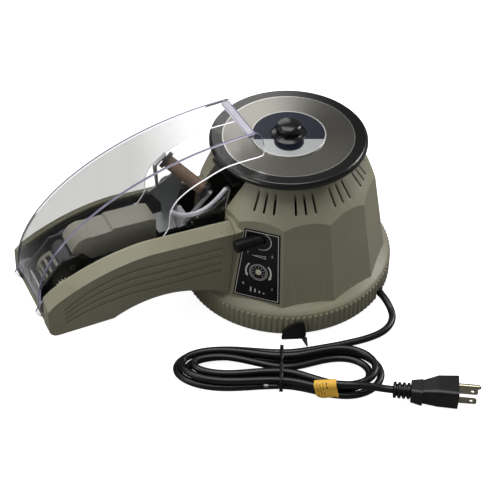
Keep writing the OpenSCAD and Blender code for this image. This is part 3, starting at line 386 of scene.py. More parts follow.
def edge_sheet():
    """Violet grey on the folds and at the hinge, and a painted white highlight on the rear skirt's
    sawn rim.
    """
    made, tree, shader = finish("acrylic_sawn_edge", EDGE_VIOLET, 0.22, IOR=1.49,
                                Transmission_Weight=0.2)
    apart = add(tree, "SeparateXYZ", {"Vector": object_place(tree)})
    # Painted highlight: white on the rim behind and below these limits, where it catches the light.
    behind = add(tree, "Math", {0: apart.outputs["X"], 1: HIGHLIGHT_BEHIND},
                 operation="GREATER_THAN")
    below = add(tree, "Math", {0: apart.outputs["Z"], 1: HIGHLIGHT_BELOW}, operation="LESS_THAN")
    both = add(tree, "Math", {0: behind.outputs[0], 1: below.outputs[0]}, operation="MULTIPLY")
    tint = add(tree, "Mix", {"Factor": both.outputs[0], "A": linear(EDGE_VIOLET),
                             "B": linear(EDGE_PAINTED_HIGHLIGHT)}, data_type="RGBA")
    tree.links.new(tint.outputs["Result"], shader.inputs["Base Color"])
    return made


edge_acrylic = edge_sheet()
print("clear:", [m.name for m in (clear_acrylic, clear_guard, lip_acrylic_painted_highlight, edge_acrylic)])

# %% [markdown]
# The small hardware is steel: zinc-plated pressings and shafts, ground blades and bright screws.
# A metal's colour is the colour of its reflection, so the base colour is the tone of the metal and
# the roughness tells plating from grinding. Grinding leaves long scratches in one direction, made
# here by stretching a noise along the blade.
# %% Metals


def metal(name, hex_value, roughness, speck_mm, stretch=(1, 1, 1), deep=0.01):
    made, tree, shader = finish(name, hex_value, roughness, 1.0)
    place = object_place(tree)
    long_way = add(tree, "Mapping", {"Vector": place, "Scale": stretch})
    specks = add(tree, "TexNoise", {"Vector": long_way.outputs[0], "Scale": per_metre(speck_mm),
                                    "Detail": 4.0})
    gloss = add(tree, "MapRange", {"Value": specks.outputs["Fac"], "To Min": roughness * 0.75,
                                   "To Max": roughness * 1.3})
    tree.links.new(gloss.outputs[0], shader.inputs["Roughness"])
    bump = add(tree, "Bump", {"Height": specks.outputs["Fac"], "Strength": 0.4,
                              "Distance": deep * MM})
    tree.links.new(bump.outputs[0], shader.inputs["Normal"])
    return made


zinc_steel = metal("steel_zinc_plated", "#9fa1a3", 0.38, 2.5)
ground_steel = metal("steel_ground", "#c4c6c8", 0.22, 0.6, (1, 0.05, 1))
chrome_screw = metal("steel_nickel_plated", "#cfcfce", 0.14, 3.0)
bracket_steel = metal("steel_pressed_grey_plated", "#97999a", 0.42, 1.8)
plated_brass = metal("brass_nickel_plated", "#b5ad98", 0.2, 2.0, (0.1, 1, 1))
copper_core = metal("copper_enamelled_winding", "#a8632c", 0.3, 0.6, (0.05, 1, 1))
print("metals:", [m.name for m in (zinc_steel, ground_steel, chrome_screw, bracket_steel)])

# %% [markdown]
# Rubber, nylon, PVC, film and paper are all matt or satin and differ by colour, grain and depth.
# Rubber is dusty black and rough. Nylon gears are a waxy off-white. The cord's PVC is satin black.
# The tag is coated yellow paper whose fibres make a faint mottle.
# %% Rubbers, plastics, film and paper
rubber_black = moulded("rubber_moulded_black", "#111112", "#171718", 0.6, 0.8, 0.03)
feed_rubber = moulded("rubber_silicone_grey", "#3b3d3f", "#333537", 0.5, 0.7, 0.04)
nylon_white = moulded("nylon_moulded_natural", "#d8d3bf", "#cfc9b2", 0.4, 0.9, 0.02, 1.53)
nylon_grey = moulded("nylon_moulded_grey", "#77797a", "#6d6f71", 0.4, 0.9, 0.02, 1.53)
cord_pvc = moulded("pvc_extruded_black", "#0a0a0b", "#0e0e0f", 0.33, 1.2, 0.04)
label_black = moulded("polycarbonate_film_black", "#08090a", "#0b0b0d", 0.36, 0.4, 0.01)
ink_white = moulded("screen_ink_white", "#dcdcd8", "#cfcfcb", 0.55, 0.5, 0.01)
tag_paper = moulded("paper_coated_yellow", "#f0bd45", "#eab23a", 0.5, 1.1, 0.05)
tag_ink = moulded("offset_ink_brown", "#6b4414", "#7d511b", 0.5, 1.0, 0.01)
board_green = moulded("circuit_board_lacquered", "#2f6b3f", "#285f37", 0.3, 0.6, 0.02)
print("soft finishes:", rubber_black.name, cord_pvc.name, tag_paper.name)

# %% [markdown]
# The turning roller is an amber nylon sleeve between two black end caps on one sloping shaft. Which
# part a point belongs to follows from how far along the shaft it lies.
# %% The roller's two plastics
ROLLER_LOW = Vector((-0.093, -0.013, 0.140))
ROLLER_HIGH = Vector((-0.1195, 0.019, 0.165))
ROLLER_CAP = 4.05 * MM


def capped_roller():
    made, tree, shader = finish("nylon_turned_amber_with_black_caps", "#8a6a4a", 0.3, IOR=1.53)
    line = ROLLER_HIGH - ROLLER_LOW
    from_end = add(tree, "VectorMath", {0: object_place(tree), 1: ROLLER_LOW},
                   operation="SUBTRACT")
    along = add(tree, "VectorMath", {0: from_end.outputs[0], 1: line.normalized()},
                operation="DOT_PRODUCT").outputs["Value"]
    middle = add(tree, "Math", {0: along, 1: line.length / 2}, operation="SUBTRACT")
    apart = add(tree, "Math", {0: middle.outputs[0]}, operation="ABSOLUTE")
    cap = add(tree, "Math", {0: apart.outputs[0], 1: line.length / 2 - ROLLER_CAP},
              operation="GREATER_THAN")
    rings = add(tree, "TexNoise", {"W": along, "Scale": per_metre(1.5), "Detail": 2.0},
                noise_dimensions="1D")
    sleeve = ramp(tree, rings.outputs["Fac"], "#33241b", "#6b523f", 0.3, 0.7)
    mixed = add(tree, "Mix", {"Factor": cap.outputs[0], "A": sleeve, "B": linear("#0e0e10")},
                data_type="RGBA")
    tree.links.new(mixed.outputs["Result"], shader.inputs["Base Color"])
    return made


nylon_amber = capped_roller()
print("roller:", nylon_amber.name, round((ROLLER_HIGH - ROLLER_LOW).length / MM, 1), "mm long")

# %% [markdown]
# The badge under the knob is printed foil. Its upper part is a dark field with fine slanted lines,
# its lower part is bare silver with a dark half-round below the knob, and its edge is a bright
# ring. All of it is worked out from the place on the badge.
# %% Printed foil
HATCH_MM = 1.5
HATCH_SLANT = math.radians(14)
SILVER_BELOW = -9.0
HALF_ROUND_AT, HALF_ROUND_R = (0, -13.0, 0), 14.0
BADGE_RING = 34.3


def printed_foil():
    made, tree, shader = finish("foil_printed", "#8e9299", 0.3, 0.6)
    place = object_place(tree)
    turned = add(tree, "Mapping", {"Vector": place, "Rotation": (0, 0, -AZIMUTH),
                                   "Scale": (1000, 1000, 0)}).outputs[0]
    slanted = add(tree, "Mapping", {"Vector": turned, "Rotation": (0, 0, HATCH_SLANT)})
    apart = add(tree, "SeparateXYZ", {"Vector": turned})
    lines = add(tree, "TexWave", {"Vector": slanted.outputs[0], "Scale": 1 / HATCH_MM / 3.18},
                wave_type="BANDS", bands_direction="X")
    navy = ramp(tree, lines.outputs["Fac"], "#07080d", "#2b3045", 0.3, 0.9)
    silver = ramp(tree, lines.outputs["Fac"], "#a2a4a5", "#c6c8c9", 0.3, 0.8)
    lower = add(tree, "Math", {0: apart.outputs["Y"], 1: SILVER_BELOW}, operation="LESS_THAN")
    from_round = add(tree, "VectorMath", {0: turned, 1: HALF_ROUND_AT}, operation="DISTANCE")
    outside = add(tree, "Math", {0: from_round.outputs["Value"], 1: HALF_ROUND_R},
                  operation="GREATER_THAN")
    bare = add(tree, "Math", {0: lower.outputs[0], 1: outside.outputs[0]}, operation="MULTIPLY")
    field = add(tree, "Mix", {"Factor": bare.outputs[0], "A": navy, "B": silver},
                data_type="RGBA")
    radius = add(tree, "VectorMath", {0: turned}, operation="LENGTH").outputs["Value"]
    ring = add(tree, "Math", {0: radius, 1: BADGE_RING}, operation="GREATER_THAN")
    mixed = add(tree, "Mix", {"Factor": ring.outputs[0], "A": field.outputs["Result"],
                              "B": linear("#cfcfcb")}, data_type="RGBA")
    tree.links.new(mixed.outputs["Result"], shader.inputs["Base Color"])
    return made


badge_foil = printed_foil()
print("foil:", badge_foil.name)

# %% [markdown]
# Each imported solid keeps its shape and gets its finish. A drawing's edges are sharp as knives,
# while a moulding's or a pressing's are rounded by half a millimetre or more, and that small round
# is what catches the light. A weld joins the faces and a bevel along the sharp edges rounds them.
# %% Dress the solids
FINISHES = {
    khaki_abs: ["base_ring", "drum_housing", "arm_shell_near", "arm_shell_far", "arm_belly"],
    shaded_khaki_abs: ["tape_hood", "outlet_grille"],
    black_abs: ["arm_chassis", "lock_knob", "width_knob", "width_guide", "reel_platter"],
    reel_black: ["reel_plate"],
    badge_foil: ["reel_badge"],
    label_black: ["control_label"],
    clear_acrylic: ["clear_cover"],
    clear_guard: ["tape_guard"],
    zinc_steel: ["base_plate", "base_screws", "reel_spindle", "spindle_bearing", "width_shaft",
                 "shell_screws", "feed_shaft", "motor_pinion", "blade_pinion", "feed_motor",
                 "cutter_motor"],
    bracket_steel: ["turn_bracket"],
    ground_steel: ["fixed_blade", "moving_blade"],
    chrome_screw: ["hinge_screws"],
    rubber_black: ["suction_foot_front", "suction_foot_far", "suction_foot_rear", "arm_pad"],
    feed_rubber: ["feed_roller", "pressure_roller"],
    nylon_white: ["feed_gear", "idler_gear", "length_trimmer"],
    nylon_grey: ["cover_bushes"],
    nylon_amber: ["turn_roller"],
    board_green: ["circuit_board"],
    copper_core: ["transformer"],
    cord_pvc: ["cord_gland", "plug_body", "hank_tie"],
    tag_paper: ["cord_tag"],
    plated_brass: ["plug_pins"],
}
WELD_REACH = 0.01 * MM
SHARP_FROM = math.radians(28)
ROUND_EDGES = {"drum_housing": 1.2, "arm_shell_near": 0.5, "arm_shell_far": 0.5,
               "arm_belly": 0.8, "tape_hood": 0.8, "outlet_grille": 0.4, "arm_chassis": 0.4,
               "turn_bracket": 0.3, "base_ring": 0.25, "tape_guard": 0.3,
               "reel_plate": 0.5, "reel_badge": 0.3, "plug_body": 0.4, "control_label": 0.1}


def paint(node, material):
    for slot in node.material_slots:
        slot.link = "OBJECT"
        slot.material = material


def round_edges(node, width_mm, material_slot=-1):
    weld = node.modifiers.new("join_faces", "WELD")
    weld.merge_threshold = WELD_REACH
    bevel = node.modifiers.new("round_edges", "BEVEL")
    bevel.width = width_mm * MM
    bevel.segments = 3
    bevel.limit_method = "ANGLE"
    bevel.angle_limit = SHARP_FROM
    bevel.harden_normals = True
    bevel.material = material_slot


for material, names in FINISHES.items():
    for name in names:
        paint(NODES[name], material)
for name, width in ROUND_EDGES.items():
    round_edges(NODES[name], width)
NODES["tape_guard"].visible_shadow = False
print("dressed", sum(len(names) for names in FINISHES.values()), "solids")

# %% New pieces


def link(made):
    bpy.context.scene.collection.objects.link(made)
    return made


def mesh_piece(name, points_mm, faces, material, body, slot, smooth=False):
    """A new piece from points in millimetres, riding on its body."""
    data = bpy.data.meshes.new(name)
    data.from_pydata([tuple(Vector(p) * MM) for p in points_mm], [], faces)
    data.materials.append(material)
    if smooth:
        data.shade_smooth()
    made = link(bpy.data.objects.new(name, data))
    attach(made, body)
    return made


def along_points(points, parts):
    """A smooth line through every point, with this many steps between two of them."""
    points = [Vector(p) for p in points]
    ends = [2 * points[0] - points[1]] + points + [2 * points[-1] - points[-2]]
    line = []
    for a, b, c, d in zip(ends, ends[1:], ends[2:], ends[3:]):
        for i in range(parts):
            t = i / parts
            line.append(0.5 * (2 * b + (c - a) * t + (2 * a - 5 * b + 4 * c - d) * t * t
                               + (3 * b - a - 3 * c + d) * t ** 3))
    return line + [points[-1]]


# %% [markdown]
# The cover is one bent sheet: a curved top and two skirts with round ears at the hinge. It is drawn
# again here as clean, closed sheet with real thickness, because the bright and dark lines along its
# rims come from that thickness and from smooth, evenly rounded edges.
# %% The cover's outline
COVER_LEN, COVER_RISE, COVER_HALF, COVER_T = 208.0, 119.0, 30.0, 2.0
LIP_FRONT, LIP_REAR, LIP_DEEP = 3.5, 10, 3.2
REAR_FLAT = (5, LIP_REAR)
CROWN = Vector((-60, 85))
HINGE = Vector((-259, 80))
EAR_R, BUSH_R = 13.5, 9.02


def polar(angle, radius=1.0):
    return radius * Vector((math.cos(math.radians(angle)), math.sin(math.radians(angle))))


def cover_top(inset, steps=48):
    """The curved top from its front to the rear edge, set in by the sheet's thickness."""
    bent = [CROWN + Vector((-(COVER_LEN - inset) * math.cos(a), (COVER_RISE - inset) * math.sin(a)))
            for a in (math.radians(90 * i / steps) for i in range(steps + 1))]
    return bent + [CROWN + Vector((along, COVER_RISE - inset)) for along in REAR_FLAT]


def skirt_rim():
    """The lower rim of a skirt, from the rear edge down and forward to the ear, then round it."""
    flange = along_points([(-48.2, 203), (-44.5, 199), (-41.8, 190.5), (-40.8, 180)], 3)
    corner = along_points([(-41.6, 176.6), (-45, 175.3), (-66, 175.6), (-82, 174.6), (-98, 169.6),
                           (-112, 164.5), (-122, 159.3), (-129, 154), (-134, 147), (-136.8, 138),
                           (-138.4, 126), (-146, 114.8)], 3)
    return (flange + corner + [Vector(p) for p in ((-205, 111.5), (-224, 108.5), (-244, 92))],
            [HINGE + EAR_R * polar(10 - 7.5 * i) for i in range(25)])


print("cover outline:", len(cover_top(0)), "points over,", sum(map(len, skirt_rim())), "under")

# %% The cover's sheet
EDGE_SLOT = 1
COVER_ROUND, LIP_ROUND = 0.7, 0.6


def cover_sheet():
    """Points and faces of the folded sheet. Rows of the top run across it at four depths."""
    points, faces = [], []

    def put(flat, depth):
        points.extend((p.x, depth, p.y) for p in flat)
        return list(range(len(points) - len(flat), len(points)))

    outer, inner = cover_top(0), cover_top(COVER_T)
    rim, ear = skirt_rim()
    bush = [HINGE + BUSH_R * polar(10 - 7.5 * i) for i in range(48)]
    half, last, inside = len(ear) - 1, len(outer) - 1, COVER_HALF - COVER_T
    top = {y: put(outer, y) for y in (-COVER_HALF, -inside, inside, COVER_HALF)}
    under = {y: put(inner, y) for y in (-inside, inside)}
    low = {y: put(rim + ear, y) for y in top}
    hole = {y: put(bush, y) for y in top}
    for i in range(last):
        for a, b in ((-COVER_HALF, -inside), (-inside, inside), (inside, COVER_HALF)):
            faces.append((top[a][i], top[b][i], top[b][i + 1], top[a][i + 1]))
        faces.append((under[inside][i], under[-inside][i], under[-inside][i + 1],
                      under[inside][i + 1]))
    for i, way in ((0, 1), (last, -1)):
        faces.append((top[inside][i], top[-inside][i], under[-inside][i],
                      under[inside][i])[::way])
    for side in (-1, 1):
        out, into = side * COVER_HALF, side * inside
        start = len(rim)
        for y, upper in ((out, top[out]), (into, [top[into][0]] + under[into] + [top[into][last]])):
            turn = -1 if (y > 0) == (y == out) else 1
            main = (upper + low[y][:start + 1] + hole[y][:1] + hole[y][:half - 1:-1]
                    + low[y][-1:])
            cap = low[y][start:] + hole[y][half::-1]
            faces.extend((tuple(main[::turn]), tuple(cap[::turn])))
        chain = [[top[y][last]] + low[y] + [top[y][0]] for y in (out, into)]
        for i in range(len(chain[0]) - 1):
            face = (chain[0][i], chain[0][i + 1], chain[1][i + 1], chain[1][i])
            faces.append(face[::side])
        for i in range(len(bush)):
            j = (i + 1) % len(bush)
            faces.append((hole[out][j], hole[out][i], hole[into][i], hole[into][j])[::side])
    return points, faces


cover_sides = cover_sheet()
cover = mesh_piece("cover_sheet", *cover_sides, clear_acrylic, "cover", "clear_acrylic")
shape = bmesh.new()
shape.from_mesh(cover.data)
bmesh.ops.recalc_face_normals(shape, faces=shape.faces)
cover.data.materials.append(edge_acrylic)
for face in shape.faces:
    if len(face.verts) == 4 and min(e.calc_length() for e in face.edges) < 1.02 * COVER_T * MM:
        face.material_index = EDGE_SLOT
bmesh.ops.triangulate(shape, faces=[face for face in shape.faces if len(face.verts) > 4])
open_edges = [e for e in shape.edges if not e.is_manifold]
shape.to_mesh(cover.data)
shape.free()
cover.data.shade_smooth()
round_edges(cover, COVER_ROUND, EDGE_SLOT)
cover.visible_shadow = False
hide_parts("clear_cover")
lip_high = CROWN.y + COVER_RISE - COVER_T
lip_low = lip_high - LIP_DEEP
lip = [(CROWN.x + along, side * (COVER_HALF - COVER_T), high) for high in (lip_low, lip_high)
       for along, side in ((LIP_FRONT, -1), (LIP_REAR, -1), (LIP_REAR, 1), (LIP_FRONT, 1))]
lip_sheet = mesh_piece("cover_lip", lip, [(3, 2, 1, 0), (4, 5, 6, 7), (0, 1, 5, 4), (1, 2, 6, 5),
                                          (2, 3, 7, 6), (3, 0, 4, 7)], lip_acrylic_painted_highlight, "cover",
                       "clear_acrylic")
lip_sheet.data.materials.append(edge_acrylic)
round_edges(lip_sheet, LIP_ROUND, EDGE_SLOT)
print("cover sheet:", len(cover.data.polygons), "faces,", len(open_edges), "open edges")

# %% [markdown]
# The lock knob is moulded with a flat dome, a waist, a thin foot and a bore for the spindle. It is
# turned here again from its section, so the dome is smooth right to the middle. The guard's top
# edge is flame-polished to a thick round, which shows as a bright line on the arm. The points here
# are where a rod is laid along that edge, in the cell that first needs such a rod.
# %% Lock knob and guard's rim
KNOB_FOOT = 165.25
KNOB_BORE, BORE_DEEP = 6.3, 5.0
KNOB_SECTION = [(0.5, BORE_DEEP), (KNOB_BORE, BORE_DEEP), (KNOB_BORE, 0), (16.75, 0),
                (16.75, 1.0), (16.2, 1.6), (12.2, 2.0), (11.4, 3.0), (11.2, 5.0), (11.6, 6.8),
                (12.2, 8.0), (12.5, 9.3), (12.35, 10.8), (11.7, 12.0), (10.4, 13.0), (8.4, 13.8),
                (6.0, 14.35), (3.2, 14.75), (1.0, 14.9)]
KNOB_STEPS = 64


def lathe(section, foot, steps):
    points = [(r * math.cos(2 * math.pi * i / steps), r * math.sin(2 * math.pi * i / steps),
               foot + z) for r, z in section for i in range(steps)]
    faces = [(row * steps + i, row * steps + (i + 1) % steps,
              (row + 1) * steps + (i + 1) % steps, (row + 1) * steps + i)
             for row in range(len(section) - 1) for i in range(steps)]
    return points, faces + [tuple(range(steps - 1, -1, -1)),
                            tuple((len(section) - 1) * steps + i for i in range(steps))]


knob = mesh_piece("knob_dome", *lathe(KNOB_SECTION, KNOB_FOOT, KNOB_STEPS), knob_abs,
                  body_of(NODES["lock_knob"])[0], "black_abs", smooth=True)
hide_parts("lock_knob")
GUARD_ROD_D = 4.0
GUARD_EDGE = [(-134.2, -25.2, 140.6), (-127, -25.2, 134.2), (-119, -25.2, 130.6),
              (-110, -25.2, 129.2), (-100, -25.2, 130.9), (-91, -25.2, 135.6), (-83.5, -25.2, 142),
              (-78, -25.2, 147.2)]

# %% [markdown]
# The mains cord is one length of 7 mm PVC flex. It leaves the foot on the operator's side, turns to
# the left and is folded in a hank, drawn in at the waist by a tie, and its end runs to the plug.
# The given points of the two free ends and the rule for the hank are those of the drawing. A
# smooth line is run through them and given thickness by a curve's bevel, which never pinches. The
# same function lays the rod on the guard's edge.
# %% The cord's route
CORD_D = 7.0
CORD_LOW = CORD_D / 2 + 0.1
CORD_LIFT = CORD_D + 0.5
HANK_AT = Vector((-75, -134, 0))
HANK_TURN = math.radians(-28.5)
HANK_START, HANK_CLIMB, HANK_END = 70, 810, 1365
HANK_HALF = 80
HANK_WAIST = 1.8
HANK_RIGHT, HANK_LEFT, HANK_NECK = 32, 15, 52
HANK_STEP = 10.8
HANK_PARTS = 173
LEAD = [(60, -90, 8), (60, -97, 8), (60, -104, 6.6), (59.2, -111.5, 4.6), (56.6, -118.6, 3.8),
        (52, -124.6, 3.6), (46, -129.2, 3.6), (39, -132.2, 3.6), (31.5, -133.6, 3.6),
        (24, -133.9, 3.6), (16.5, -133.5, 3.6), (9, -132.6, 3.6), (1.5, -131.3, 3.6),
        (-7, -129.8, 3.6), (-15, -128.1, 3.6)]
TAIL = [(-52.9, -174.7, 14.8), (-45.7, -179.8, 16.8), (-40.5, -183.4, 17.4), (-32.6, -188, 17.3),
        (-25.9, -191.2, 16.6), (-19.2, -194.3, 15.2), (-12.3, -197.4, 13.6), (-5.5, -201, 11.9),
        (1.3, -205.2, 11.2), (2.8, -206.2, 11.2)]


def hank_bulge(x):
    swell = HANK_RIGHT if x > 0 else HANK_LEFT
    return HANK_WAIST + swell * (1 - math.exp(-(x / HANK_NECK) ** 2))


def hank_point(angle):
    """A point of the hank: it winds inward, climbs a layer at its innermost run and winds out."""
    off = HANK_STEP * abs(angle - HANK_CLIMB) / 360
    climbed = max(0.0, min(1.0, (angle - HANK_CLIMB + 50) / 100))
    climbed = climbed * climbed * (3 - 2 * climbed)
    a = math.radians(angle)
    x = (HANK_HALF + off) * math.cos(a)
    y = math.sin(a) * (hank_bulge(HANK_HALF * math.cos(a)) + off)
    flat = Matrix.Rotation(HANK_TURN, 3, "Z") @ Vector((x, y, 0))
    return HANK_AT + flat + Vector((0, 0, CORD_LOW + CORD_LIFT * climbed))


hank = [hank_point(HANK_START + (HANK_END - HANK_START) * i / HANK_PARTS)
        for i in range(HANK_PARTS + 1)]
hank_in = hank[0] + CORD_D * (hank[0] - hank_point(HANK_START + 2)).normalized()
hank_out = hank[-1] + CORD_D * (hank[-1] - hank_point(HANK_END - 2)).normalized()
leave = hank_out + 1.6 * (hank_out - hank[-1]).normalized()
route = along_points(LEAD + [hank_in] + hank + [hank_out, leave] + TAIL, 3)
route = [p * MM for p in route]

# %% The cord itself


def cord_curve(name, points, diameter, material):
    data = bpy.data.curves.new(name, "CURVE")
    data.dimensions = "3D"
    spline = data.splines.new("POLY")
    spline.points.add(len(points) - 1)
    for point, place in zip(spline.points, points):
        point.co = (*place, 1)
    data.bevel_depth = diameter / 2
    data.bevel_resolution = 5
    data.use_fill_caps = True
    data.materials.append(material)
    return link(bpy.data.objects.new(name, data))


# The rod is the pale, partly opaque acrylic: a painted highlight for the bright line on the guard's
# edge.
guard_rod = cord_curve("guard_edge", [Vector(p) * MM for p in along_points(GUARD_EDGE, 6)],
                       GUARD_ROD_D * MM, lip_acrylic_painted_highlight)
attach(guard_rod, body_of(NODES["tape_guard"])[0])
cord = cord_curve("mains_cord", route, CORD_D * MM, cord_pvc)
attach(cord, "root")
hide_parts("cord_lead", "cord_hank", "cord_tail")
print("cord laid")

# %% [markdown]
# The tag is a strip of coated paper folded over the cord, its leaf hanging towards the table with
# one rounded corner and one that curls outward. It carries brown bands broken into dashes. In the
# code, share runs along the cord, and down goes over the fold to the leaf's end.
# %% The paper tag
TAG_FROM, TAG_TO = Vector((-59, -170.2, 12.1)), Vector((-42.5, -182.1, 17.5))
TAG_R, TAG_T, TAG_LEAF = 4.6, 0.35, 10.9
TAG_COLUMNS, TAG_FOLD, TAG_ROWS = 32, 10, 16
tag_line = TAG_TO - TAG_FROM
tag_left = Vector((0, 0, 1)).cross(tag_line).normalized()
tag_up = tag_line.normalized().cross(tag_left)


def tag_point(share, row, out):
    if row <= TAG_FOLD:
        flat = polar(60 + 13 * row, TAG_R + out)
    else:
        down = (row - TAG_FOLD) / (TAG_ROWS - TAG_FOLD)
        leaf = TAG_LEAF - 3.2 * max(0, 1 - share / 0.3) ** 2 - 0.8 * share ** 2
        curl = 2.2 * max(0, share - 0.7) ** 2 * down ** 2 * 8
        flat = polar(190, TAG_R) + Vector((-0.9 * down - curl - out, -leaf * down))
    return TAG_FROM + share * tag_line + flat.x * tag_left + flat.y * tag_up


def tag_sheet():
    points = [tag_point(i / TAG_COLUMNS, row, out) for out in (0, TAG_T)
              for row in range(TAG_ROWS + 1) for i in range(TAG_COLUMNS + 1)]
    wide, layer = TAG_COLUMNS + 1, (TAG_COLUMNS + 1) * (TAG_ROWS + 1)
    faces = []
    for row in range(TAG_ROWS):
        for i in range(TAG_COLUMNS):
            a = row * wide + i
            faces.append((a, a + 1, a + 1 + wide, a + wide))
            faces.append(tuple(layer + v for v in (a + wide, a + 1 + wide, a + 1, a)))
    rim = ([(i, i + 1) for i in range(TAG_COLUMNS)]
           + [(r * wide + TAG_COLUMNS, (r + 1) * wide + TAG_COLUMNS) for r in range(TAG_ROWS)]
           + [(TAG_ROWS * wide + i + 1, TAG_ROWS * wide + i) for i in range(TAG_COLUMNS)]
           + [((r + 1) * wide, r * wide) for r in range(TAG_ROWS)])
    faces.extend((b, a, layer + a, layer + b) for a, b in rim)
    return points, faces


tag = mesh_piece("paper_tag", *tag_sheet(), tag_paper, "root", "tag_paper", smooth=True)
tag.data.materials.append(tag_ink)
inked = 0
for index in range(2 * TAG_COLUMNS * TAG_ROWS):
    row, i = divmod(index // 2, TAG_COLUMNS)
    thin = i in (4, 8, 12) and 3 < row < 15 and (row * 3 + i) % 5
    bold = i in (17, 18) and 3 < row < 10 and row % 4 != 2
    if index % 2 and (thin or bold):
        tag.data.polygons[index].material_index = 1
        inked += 1
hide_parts("cord_tag")
print("tag:", len(tag.data.polygons), "faces,", inked, "with ink")

# %% [markdown]
# The hank is drawn in by a plastic-coated wire. It goes over the bundle as two strands, is twisted
# on the operator's side, and its cut end sticks out to the left.
# %% The tie
TIE_R = 0.95
TIE_TWIST, TIE_WEAVE = 0.45, 0.3
TIE_END_THICKER = 1.5
CUT_END_D = 3.6
TIE_LOOP = [(-22.9, 1.2), (-23.2, 8), (-22.6, 13.4), (-20.2, 15.8), (-10, 16.2), (5, 16.2),
            (14.6, 15.9), (22.4, 12.2), (28.4, 8), (28.6, 1.2)]
TIE_END = [(-1, -23.4, 9), (-4, -24.8, 10.6), (-8, -24.9, 10.6), (-12.5, -24.5, 10)]


def on_hank(x, y, z):
    return HANK_AT + Matrix.Rotation(HANK_TURN, 3, "Z") @ Vector((x, y, z))


def tie_strand(turn):
    """One of two strands: side by side over the bundle and wound round each other."""
    line = along_points([(0, y, z) for y, z in TIE_LOOP], 8)
    return [on_hank(p.x + TIE_R * math.cos(turn + i * TIE_TWIST), p.y, p.z
                    + TIE_WEAVE * math.sin(turn + i * TIE_TWIST)) * MM
            for i, p in enumerate(line)]


tie_lines = [tie_strand(0), tie_strand(math.pi)]
tie_lines.append([on_hank(*p) * MM for p in along_points(TIE_END, 6)])
for number, line in enumerate(tie_lines):
    thicker = TIE_END_THICKER if number > 1 else 1
    strand = cord_curve("tie_strand_%d" % number, line, 2 * TIE_R * MM * thicker, cord_pvc)
    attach(strand, "root")
    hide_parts("hank_tie")
cut_end = [on_hank(x, -24.5, 10) * MM for x in (-12, -16)]
cut = cord_curve("tie_cut_end", cut_end, CUT_END_D * MM, bracket_steel)
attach(cut, "root")

# %% [markdown]
# The label on the panel is black film with white screen print: a thin border, an arc round the
# width knob, two circles round the length trimmer with an arrow on each side, and plain numbers
# and bars for less and more. Printed ink is a flat layer, so each mark is a thin strip of mesh laid
# just over the film, drawn in the panel's own plane and then stood up on the leaning flat.
# %% The panel's plane
PANEL_FOOT = 36.0
DRUM_R, DRUM_TAPER, DRUM_FOOT = 98.7, 0.1646, 35.0
FILM_T = 0.5
INK_T = 0.08
panel_reach = (DRUM_R - (PANEL_FOOT - DRUM_FOOT) * DRUM_TAPER) * math.cos(math.radians(15))
panel_lean = math.atan(DRUM_TAPER * math.cos(math.radians(15)))
SIDE_UP_OUT = Matrix(((0, 0, 1, 0), (1, 0, 0, 0), (0, 1, 0, 0), (0, 0, 0, 1)))
PANEL = (Matrix.Rotation(math.radians(225), 4, "Z")
         @ Matrix.Translation((panel_reach, 0, PANEL_FOOT))
         @ Matrix.Rotation(-panel_lean, 4, "Y") @ SIDE_UP_OUT)


def arc(centre, radius, start, end, steps=28):
    return [centre + polar(start + (end - start) * i / steps, radius) for i in range(steps + 1)]


def edges_of_line(points, width, closed):
    """The left and right edge of a flat line of this width."""
    points = [Vector(p) for p in points]
    left, right = [], []
    for i, p in enumerate(points):
        before = points[i - 1] if closed or i > 0 else 2 * p - points[i + 1]
        after = points[(i + 1) % len(points)] if closed or i < len(points) - 1 else 2 * p - before
        u, v = (p - before).normalized(), (after - p).normalized()
        side = Vector((-u.y - v.y, u.x + v.x)) / (1 + u.dot(v))
        left.append(p + side * width / 2)
        right.append(p - side * width / 2)
    return left, right


print("panel stands at", [round(v, 1) for v in PANEL.translation])

# %% Ink on the film
ink_points, ink_faces = [], []


def lay_points(points):
    first = len(ink_points)
    ink_points.extend(PANEL @ Vector((p[0], p[1], FILM_T + INK_T)) for p in points)
    return first


def lay_line(points, width, closed=False):
    left, right = edges_of_line(points, width, closed)
    first, count = lay_points(left + right), len(left)
    for i in range(count if closed else count - 1):
        j = (i + 1) % count
        ink_faces.append((first + i, first + count + i, first + count + j, first + j))


def lay_arrow_head(tip, angle, size=3.4):
    along = polar(angle)
    side = Vector((-along.y, along.x)) * size / 2
    first = lay_points([tip, tip - along * size + side, tip - along * size - side])
    ink_faces.append((first, first + 1, first + 2))


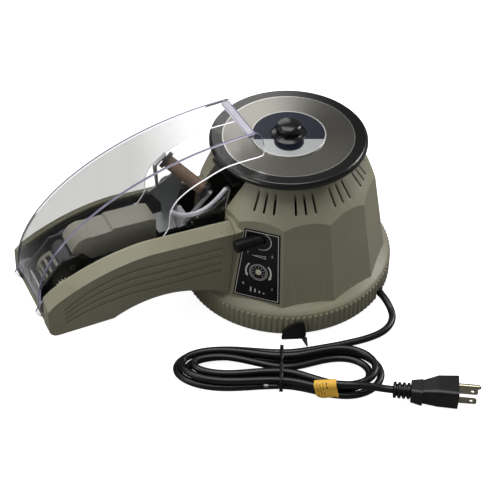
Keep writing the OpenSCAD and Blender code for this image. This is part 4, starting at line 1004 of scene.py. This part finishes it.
def lay_number(text, at, height):
    data = bpy.data.curves.new("number", "FONT")
    data.body = text
    data.size = height
    data.align_x = data.align_y = "CENTER"
    letter = bpy.data.objects.new("number", data)
    shape = bpy.data.meshes.new_from_object(letter)
    first = lay_points([v.co + Vector((*at, 0)) for v in shape.vertices])
    ink_faces.extend(tuple(first + i for i in face.vertices) for face in shape.polygons)
    for spare, store in ((letter, bpy.data.objects), (shape, bpy.data.meshes),
                         (data, bpy.data.curves)):
        store.remove(spare)


BORDER_W, ARC_W, CIRCLE_W, ARROW_W, BAR_W = 0.55, 0.6, 0.4, 1.5, 1.2
NUMBER_H = 4.2
KNOB_SPOT = Vector((1.6, 66.9))
TRIMMER_SPOT = Vector((0, 32))
lay_line([(-22.3, 2.4), (21.1, 2.4), (17.1, 76.2), (-14.2, 76.2)], BORDER_W, closed=True)
lay_line(arc(KNOB_SPOT, 9.0, -110, 73), ARC_W)
for circle in (7.6, 8.9):
    lay_line(arc(TRIMMER_SPOT, circle, 0, 360, 44), CIRCLE_W)
for side in (0, 1):
    start, end = (138, 200) if side else (42, -20)
    lay_line(arc(TRIMMER_SPOT, 12.4, start, end), ARROW_W)
    lay_arrow_head(TRIMMER_SPOT + polar(end + (13 if side else -13), 12.4),
                   end + (97 if side else -97))
for i in range(9):
    ray = polar(-40 + i * 32.5)
    lay_line([TRIMMER_SPOT + 4.6 * ray, TRIMMER_SPOT + 6.2 * ray], CIRCLE_W)
lay_number("1", (-11.5, 52.5), NUMBER_H)
lay_number("5", (12.5, 52.5), NUMBER_H)
lay_line([(-6, 50), (6, 48.6), (6, 51.4)], 0.5, closed=True)
lay_number("9", (-14.5, 15.6), NUMBER_H)
lay_number("1", (14.5, 15.6), NUMBER_H)
for i in range(4):
    lay_line([(-6.6 + 4.4 * i, 8.2), (-6.6 + 4.4 * i, 13.6 - 1.3 * i)], BAR_W)
mesh_piece("label_print", ink_points, ink_faces, ink_white, "root", "label_black")
print("printed", len(ink_faces), "faces of ink, knob at", [round(v, 1) for v in KNOB_SPOT])
